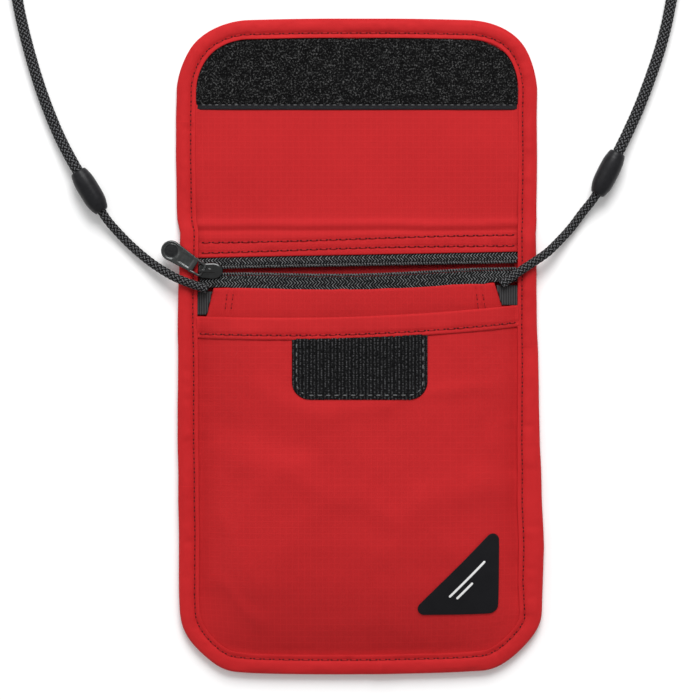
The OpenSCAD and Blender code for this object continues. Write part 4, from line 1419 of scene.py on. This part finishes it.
def strap(path, half, thick):
    """A flat strap with rounded corners carried along a path in the zip's xz plane; half is its half width there."""
    out = np.cross(unit(np.gradient(path, axis=0)), [0.0, -1.0, 0.0])
    a, b = squared(np.cos(full_turn(20)), 0.45), squared(np.sin(full_turn(20)), 0.6)
    sideways = half[:, None, None] * a[None, :, None] * np.array([0.0, 1.0, 0.0])
    return path[:, None] + sideways + thick / 2 * b[None, :, None] * out[:, None]


# %% Slider body
SLIDER_MID, PIVOT_X, PIVOT_Z = -55.2, -58.0, 4.75


def zip_shape(rings):
    """A ring shape from the zip's own frame to the pouch's."""
    points, faces, uvs = closed_rings(rings)
    return from_zip(points[:, 0], points[:, 1], points[:, 2]), faces, uvs


shapes = []
for low, high, dome in ((1.0, 1.6, 0.0), (3.42, 3.96, 0.16)):
    plate = rounded_plate(4.6, 3.2, low, high, 0.28, dome, 0.12)
    shapes.append(zip_shape(plate + np.array([SLIDER_MID, 0, 0])))
for side in (-1, 1):
    t = np.linspace(0, 1, 12)
    for low_z, high_z in ((1.3, 2.2), (2.8, 3.6)):
        flange_y = side * (2.55 + 0.32 * np.sin(np.pi * t / 2))
        flange = np.stack([-59.3 + 5.6 * t, flange_y, 0 * t + (low_z + high_z) / 2], 1)
        angle = full_turn(12)
        offsets = np.stack([0 * angle, 0.27 * np.cos(angle), (high_z - low_z) / 2 * np.sin(angle)], 1)
        shapes.append(zip_shape(flange[:, None] + offsets[None]))
angle = full_turn(16)
wedge_x = np.linspace(-54.4, -51.4, 8)[:, None] + 0 * angle
wedge_y = (0.12 + 0.42 * np.sin(np.linspace(0.15, 2.6, 8)))[:, None] * np.cos(angle)
wedge_z = COIL_Z + 1.15 * squared(np.sin(angle), 0.4) + 0 * wedge_x
shapes.append(zip_shape(np.stack([wedge_x, wedge_y, wedge_z], 2)))
arch_knots = np.array([
    [-59.45, 0, 3.6], [-59.62, 0, 4.4], [-59.5, 0, 5.2], [-58.8, 0, 5.68], [-57.9, 0, 5.74], [-56.9, 0, 5.46],
    [-55.9, 0, 4.92], [-54.9, 0, 4.4], [-53.9, 0, 4.05], [-53.2, 0, 3.7]])
arch = smooth_path(arch_knots, 0.25)
arch_half = 0.5 + 0.14 * ease(arch[:, 0], -58.8, -54.5)
shapes.append(zip_shape(strap(arch, arch_half, 0.55)))
slider = joined("slider_body", shapes)
finish_piece(slider, SLIDER_METAL, "slider", ["zip_slider"])

# %% [markdown]
# ## Puller
# The puller is a flat drop with a round hollow in each side, a sunk pad behind it, and two arms that end in a crossbar
# under the slider's bridge. Its flat part is a set of rings round the hollow's middle, from the web between the two
# hollows out to the rim and back underneath. Each point's height takes the sunk pad and the hollow into account.

# %% Puller
PULLER_TURN, HOLE_X, HOLE_R, PULLER_R, PULLER_T = math.radians(146.0), 13.9, 2.5, 3.8, 1.4


def on_puller(points):
    """From the puller's own frame, with x from its pivot to its hole, to the zip's and then to the pouch's."""
    c, s = math.cos(PULLER_TURN), math.sin(PULLER_TURN)
    x, y, z = points[..., 0], points[..., 1], points[..., 2]
    return from_zip(PIVOT_X + c * x - s * y, s * x + c * y, PIVOT_Z + z)


def drop_outline(angle):
    """Distance from the hole's middle to the rim: a circle on the far side, and two straight sides that come in to a
    narrower end near the arms."""
    c, s = np.cos(angle), np.sin(angle)
    with np.errstate(divide="ignore", invalid="ignore"):
        side = PULLER_R / np.maximum(np.abs(s) + 0.095 * -np.minimum(c, 0), 1e-6)
        end = np.where(c < 0, 10.6 / np.maximum(-c, 1e-6), 99.0)
    straight = (side ** -14.0 + end ** -14.0) ** (-1 / 14.0)
    return np.where(c >= 0, PULLER_R, straight)


angle = full_turn(144)
rim = drop_outline(angle)
steps = np.concatenate([[0.0, 0.012, 0.05], np.linspace(0.1, 0.9, 22), [0.95, 0.988, 1.0]])
radius = HOLE_R + (rim[None] - HOLE_R) * (1 - steps[:, None])
px, py = HOLE_X + radius * np.cos(angle), radius * np.sin(angle)
roll = 0.34 * (1 - np.clip(np.minimum(radius - HOLE_R, rim - radius) / 0.5, 0, 1)) ** 2
pad = ease(px, 4.6, 5.3) * (1 - ease(px, 9.4, 10.0)) * (1 - ease(np.abs(py), 1.65, 2.15))
ring_dip = 1 - ease(radius, 3.0, 3.2)
ring_dip *= 1 - np.clip((HOLE_R + 0.12 - radius) / 0.12, 0, 1)
face_z = PULLER_T / 2 - roll - 0.28 * pad - 0.22 * ring_dip
upper = np.stack([px, py, face_z], 2)
WEB_Z = 0.2            # half the thickness of the web that closes the hollow
hollow = np.array([  # radius and height of each ring, from the wall of the hollow to its middle
    (HOLE_R - 0.08, WEB_Z + 0.12), (HOLE_R - 0.2, WEB_Z), (1.9, WEB_Z), (1.7, WEB_Z + 0.1),
    (0.9, WEB_Z + 0.14), (0.05, WEB_Z + 0.15)])
hollow_r, hollow_z = hollow[:, :1], hollow[:, 1:]
hollow = [HOLE_X + hollow_r * np.cos(angle), hollow_r * np.sin(angle), hollow_z + 0 * angle]
upper = np.concatenate([upper, np.stack(hollow, 2)])
lower = (upper * np.array([1, 1, -1]))[::-1]
points, faces, uvs = closed_rings(np.concatenate([lower, upper]))
shapes = [(on_puller(points), faces, uvs)]
one_arm = np.array([[4.6, 2.75, 0], [3.4, 2.5, 0], [2.2, 2.35, 0], [1.1, 2.3, 0], [0.35, 2.15, 0], [0, 1.6, 0],
                    [0, 0.8, 0]])
arm = smooth_path(np.vstack([one_arm, one_arm[::-1] * [1, -1, 1]]), 0.2)
arm_side, arm_up = level_frame(arm)
section = full_turn(16)
arm_high = 0.5 + 0.17 * ease(arm[:, 0], 0.4, 2.5)
a = np.tile(0.5 * squared(np.cos(section), 0.7), (len(arm), 1))
b = arm_high[:, None] * squared(np.sin(section), 0.7)
loop = arm[:, None] + a[..., None] * arm_side[:, None] + b[..., None] * arm_up[:, None]
points, faces, uvs = closed_rings(loop)
shapes.append((on_puller(points), faces, uvs))
puller = joined("puller_drop", shapes)
finish_piece(puller, GUNMETAL, "puller", ["zip_puller"])
hollow_middle = on_puller(np.array([HOLE_X, 0.0, 0.0]))


def in_hollow(centres):
    """Inside the hollow's radius and below the rim of its wall."""
    from_middle = np.abs(centres - hollow_middle)
    return (np.hypot(from_middle[:, 0], from_middle[:, 1]) < HOLE_R - 0.02) & (from_middle[:, 2] < PULLER_T / 2 - 0.12)


# The hollow's faces get the darker finish: painted shade.
second_finish(puller, HOLLOW_SHADE_METAL, in_hollow)
print("puller faces", len(puller.data.polygons))

# %% [markdown]
# ## Webbing tabs
# A short piece of ribbed webbing fills each side opening and holds the cord's end. It lies on the slope beside the
# zipped pocket's front.

# %% Tabs
def webbing_tab(name, foot_x, top_x, foot_y, top_y, stands_for):
    """Rows from the foot to the top, from inside the edge tape to a slanted side, with ribs along the webbing."""
    side = np.sign(foot_x)
    t, u = np.meshgrid(np.linspace(0, 1, 26), np.linspace(0, 1, 30), indexing="ij")
    y = foot_y + (top_y - foot_y) * t
    inner, outer = foot_x + (top_x - foot_x) * t, side * 61.6
    x = outer + (inner - outer) * u
    ribs = 0.14 * np.abs(np.sin(np.pi * x / WEBBING_RIB))
    tucked = 0.35 * ease(t, 0.86, 1.0) + 0.3 * (1 - ease(pocket_inset(x, y), 6.6, 7.6))
    z = front_height(x, y, 1.7, 7.7, 0.3) + 0.85 + ribs - tucked
    top = np.stack([x, y, z], 2)
    flat = np.stack([x, y], 2)
    if side > 0:
        top, flat = top[:, ::-1], flat[:, ::-1]
    piece = cloth_sheet(name, top[::-1], 0.9, flat[::-1])
    return finish_piece(piece, WEBBING, "pouch", stands_for)


webbing_tab("tab_left_webbing", -56.7, -54.6, 11.6, 20.2, ["cord_tab_left"])
webbing_tab("tab_right_webbing", 53.3, 51.2, 15.2, 22.6, ["cord_tab_right"])

# %% [markdown]
# ## Hook patch
# Hook tape has ribs along it and rows of stiff hooks. The ribs and the rough rows are in the mesh, and a flat selvedge
# runs round the patch where it is stitched.

# %% Hook patch
HOOK_MID, HOOK_HALF, HOOK_R, HOOK_FOOT = 0.4, 25.0, 6.8, -19.8
HOOK_LONG = 24.2       # its length on the cut tape


def hook_y(x, along):
    """Height on the pouch of a place along the tape, which runs from its foot to just under the hem's lower edge."""
    return HOOK_FOOT + along * (mouth_y(x) - HEM_W + 0.5 - HOOK_FOOT) / HOOK_LONG


turn = np.linspace(0, np.pi / 2, 12)
rows = np.concatenate([HOOK_R * (1 - np.cos(turn))[:-1], np.linspace(HOOK_R, HOOK_LONG, 66)])
half = HOOK_HALF - HOOK_R + np.sqrt(np.maximum(HOOK_R**2 - np.clip(HOOK_R - rows, 0, HOOK_R) ** 2, 0))
u = np.linspace(-1, 1, 230)
x = HOOK_MID + u[:, None] * half[None]
t = np.broadcast_to(rows[None], x.shape)
y = hook_y(x, t)
from_side = np.minimum(half[None] - np.abs(x - HOOK_MID), t)
inside = ease(from_side, 1.3, 2.0)
ribs = 0.34 * np.abs(np.sin(np.pi * x / HOOK_RIB)) ** 0.5 + 0.12 * np.abs(np.sin(np.pi * x / HOOK_FINE))
rough = 0.16 * soft_noise(x, y, 0.42, 0.36, 71)
hook_z = slip_top(x, y) + 0.48 + inside * (0.05 + ribs + rough) + 0.03 * soft_noise(x, y, 0.5, 0.5, 72)
hook_z -= 0.2 * (1 - ease(from_side, 0.0, 0.35)) + 0.3 * ease(t, HOOK_LONG - 0.8, HOOK_LONG)
hook = cloth("hook_patch_ribs", x, y, hook_z, 0.5, HOOK_TAPE, ["hook_patch"])
print("hook patch faces", len(hook.data.polygons))

ROW_IN = 1.7           # the stitch row's distance from the patch's edge
turn = np.linspace(0, np.pi / 2, 10)
row_r = HOOK_R - ROW_IN
corner_x = HOOK_HALF - HOOK_R + row_r * np.sin(turn)
corner_y = ROW_IN + row_r * (1 - np.cos(turn))
half_row = np.column_stack([np.append(corner_x, HOOK_HALF - ROW_IN), np.append(corner_y, 23.0)])
row = np.vstack([half_row[::-1], half_row * [-1, 1]])
row = even_path(np.column_stack([row, np.zeros(len(row))]), 0.6)
row_x = row[:, 0] + HOOK_MID
row_y = HOOK_FOOT + row[:, 1] * (mouth_y(row[:, 0]) - HEM_W + 0.5 - HOOK_FOOT) / HOOK_LONG
stitch_row("hook_patch_stitches", on_cloth(row_x, row_y, slip_top(row_x, row_y) + 0.62), 3.0, 2.6, 0.24,
           GREY_THREAD, "hook_tape", lift=0.1)

# %% [markdown]
# ## Loop strip
# The flap's end carries fuzzy loop tape. Loops are far too many to model one by one, so the pile is a fine grid with
# tufts of noise at three sizes, and its finish adds the loose fibres, with painted highlights on their tips. Its lower
# edge is a flat woven selvedge.

# %% Loop strip
STRIP_FOOT, STRIP_IN, STRIP_Z = 88.1, 7.0, 1.42
strip_rows = np.concatenate([graded(STRIP_FOOT, 0.33, 94.5), corner_rows(STRIP_IN, False, 64)[1:]])
x, y = plan_grid(strip_rows, STRIP_IN, 330)
piled = ease(inset_of(x, y), 7.3, 8.6) * ease(y, STRIP_FOOT + 1.7, STRIP_FOOT + 2.4)
tufts = 0.50
for height, size_x, size_y, seed in ((0.16, 1.0, 0.9, 81), (0.30, 0.55, 0.5, 82), (0.06, 3.6, 3.1, 83)):
    tufts = tufts + height * soft_noise(x, y, size_x, size_y, seed)
weave = 0.05 * np.abs(np.sin(np.pi * x / 0.7))
strip_z = STRIP_Z + flap_wave(x, y) + piled * tufts + (1 - piled) * weave
strip_z -= 0.2 * (1 - ease(y, STRIP_FOOT, STRIP_FOOT + 0.4))
strip = cloth("loop_strip_pile", x, y, strip_z, 0.4, LOOP_PILE, ["flap_loop_strip"], body="flap")
second_finish(strip, SELVEDGE, lambda centres: centres[:, 1] < STRIP_FOOT + 1.9)
row_x = np.linspace(-59.0, 59.0, 120)
row_y = np.full_like(row_x, STRIP_FOOT + 1.8)
stitch_row("loop_strip_stitches", on_cloth(row_x, row_y, STRIP_Z + flap_wave(row_x, row_y)), 2.4, 1.9, 0.2,
           GREY_THREAD, "loop_tape", body="flap", lift=0.1)
print("loop strip faces", len(strip.data.polygons))


# %% [markdown]
# ## Badge
# A smooth triangle with round corners is welded near the foot. It is a patch of rings round its middle that follows
# the cloth. Two plain bars stand on it.

# %% Badge
def rounded_polygon(corners, radii, count):
    """Outline of a polygon with round corners, by even steps. Each corner's middle is where the two inner parallels at
    distance r meet."""
    corners = np.array(corners, float)
    rounded = []
    for k, (p, r) in enumerate(zip(corners, radii)):
        before, after = corners[k - 1] - p, corners[(k + 1) % len(corners)] - p
        before, after = unit(before), unit(after)
        half_angle = math.acos(np.clip(before @ after, -1, 1)) / 2
        middle = p + unit(before + after) * r / math.sin(half_angle)
        start = math.atan2(*(p + before * r / math.tan(half_angle) - middle)[::-1])
        sweep = math.pi - 2 * half_angle
        turn = start + np.linspace(0, sweep, 12)
        rounded.append(middle + r * np.stack([np.cos(turn), np.sin(turn)], 1))
    return even_ring(np.vstack(rounded + [rounded[0][:1]]), count)[0]


def welded_patch(name, corners, radii, thick, above, material, stands_for=(), count=160):
    """Rings from the middle to the rim on the slip pocket's front, then down its edge and back underneath."""
    rim = rounded_polygon(corners, radii, count)
    middle = rim.mean(0)
    shrink = np.concatenate([np.linspace(0.04, 0.96, 22), [0.985, 1.0]])
    plan = middle + (rim - middle)[None] * shrink[:, None, None]
    z = slip_top(plan[..., 0], plan[..., 1]) + above
    edge = np.zeros(len(shrink))
    edge[-2:] = [0.06, 0.2]
    top = np.dstack([plan, z + thick * (1 - edge[:, None])])
    low = np.dstack([plan, z - 0.1])[::-1]
    rings = wander(np.concatenate([top, low]))
    points, faces, uvs = closed_rings(rings)
    piece = write_piece(name, points, faces, uvs)
    return finish_piece(piece, material, "pouch", stands_for)


welded_patch("corner_badge_weld", [(18.6, -99.5), (51.9, -99.5), (51.9, -66.2)], (2.3, 3.3, 2.3), 0.4, 0.1,
             BADGE_BLACK, ["corner_badge"])
slant = np.array([1.0, 1.0]) / math.sqrt(2)
away = np.array([1.0, -1.0]) / math.sqrt(2)
BAR_HALF = 0.42
for name, start, length in (("badge_bar_long", (33.4, -93.0), 19.0), ("badge_bar_short", (36.2, -93.6), 8.5)):
    foot = np.array(start)
    sides = BAR_HALF * away
    corners = [foot - sides, foot + sides, foot + length * slant + sides, foot + length * slant - sides]
    welded_patch(name, corners, [0.36] * 4, 0.1, 0.48, BADGE_WHITE, count=64)

# %% [markdown]
# ## Table and light
# A white table and a bright, even surround give the soft, almost shadowless light of a product picture. One large lamp
# beyond the flap's end models the folds and throws a faint shadow below the foot.

# %% Table
floor_mesh = bpy.data.meshes.new("table_top")
TABLE_REACH = 3.0      # metres from the middle to each edge
table_corners = [(x * TABLE_REACH, y * TABLE_REACH, 0) for x, y in ((-1, -1), (1, -1), (1, 1), (-1, 1))]
floor_mesh.from_pydata(table_corners, [], [(0, 1, 2, 3)])
floor_mesh.uv_layers.new(name="cloth")
floor = bpy.data.objects.new("table_top", floor_mesh)
floor.location.z = -0.0006
bpy.context.scene.collection.objects.link(floor)
floor_paint, tree, shader, place = new_finish("table_paint", Roughness=0.85, Specular_IOR_Level=0.15)
set_colour(tree, shader, noise(tree, place, 600.0, 2.0), (0.93, 0.93, 0.93), (0.96, 0.96, 0.96))
floor_mesh.materials.append(floor_paint)


# %% Light
def soft_lamp(name, place, size, power):
    """A square lamp turned to the pouch's middle. It lights the scene but isn't seen itself."""
    data = bpy.data.lights.new(name, "AREA")
    data.size, data.energy = size, power
    lamp = bpy.data.objects.new(name, data)
    lamp.location = place
    lamp.rotation_mode = "QUATERNION"
    lamp.rotation_quaternion = (-Vector(place)).to_track_quat("-Z", "Y")
    lamp.visible_camera = False
    bpy.context.scene.collection.objects.link(lamp)


soft_lamp("key_lamp", (0.08, 1.02, 0.95), 0.8, 20.0)
soft_lamp("side_lamp", (-1.0, 0.5, 0.9), 0.7, 1.6)
world = bpy.data.worlds.new("surround")
world.use_nodes = True
world.node_tree.nodes["Background"].inputs["Color"].default_value = (1, 1, 1, 1)
world.node_tree.nodes["Background"].inputs["Strength"].default_value = 0.54
bpy.context.scene.world = world
bpy.context.scene.view_settings.view_transform = "Standard"
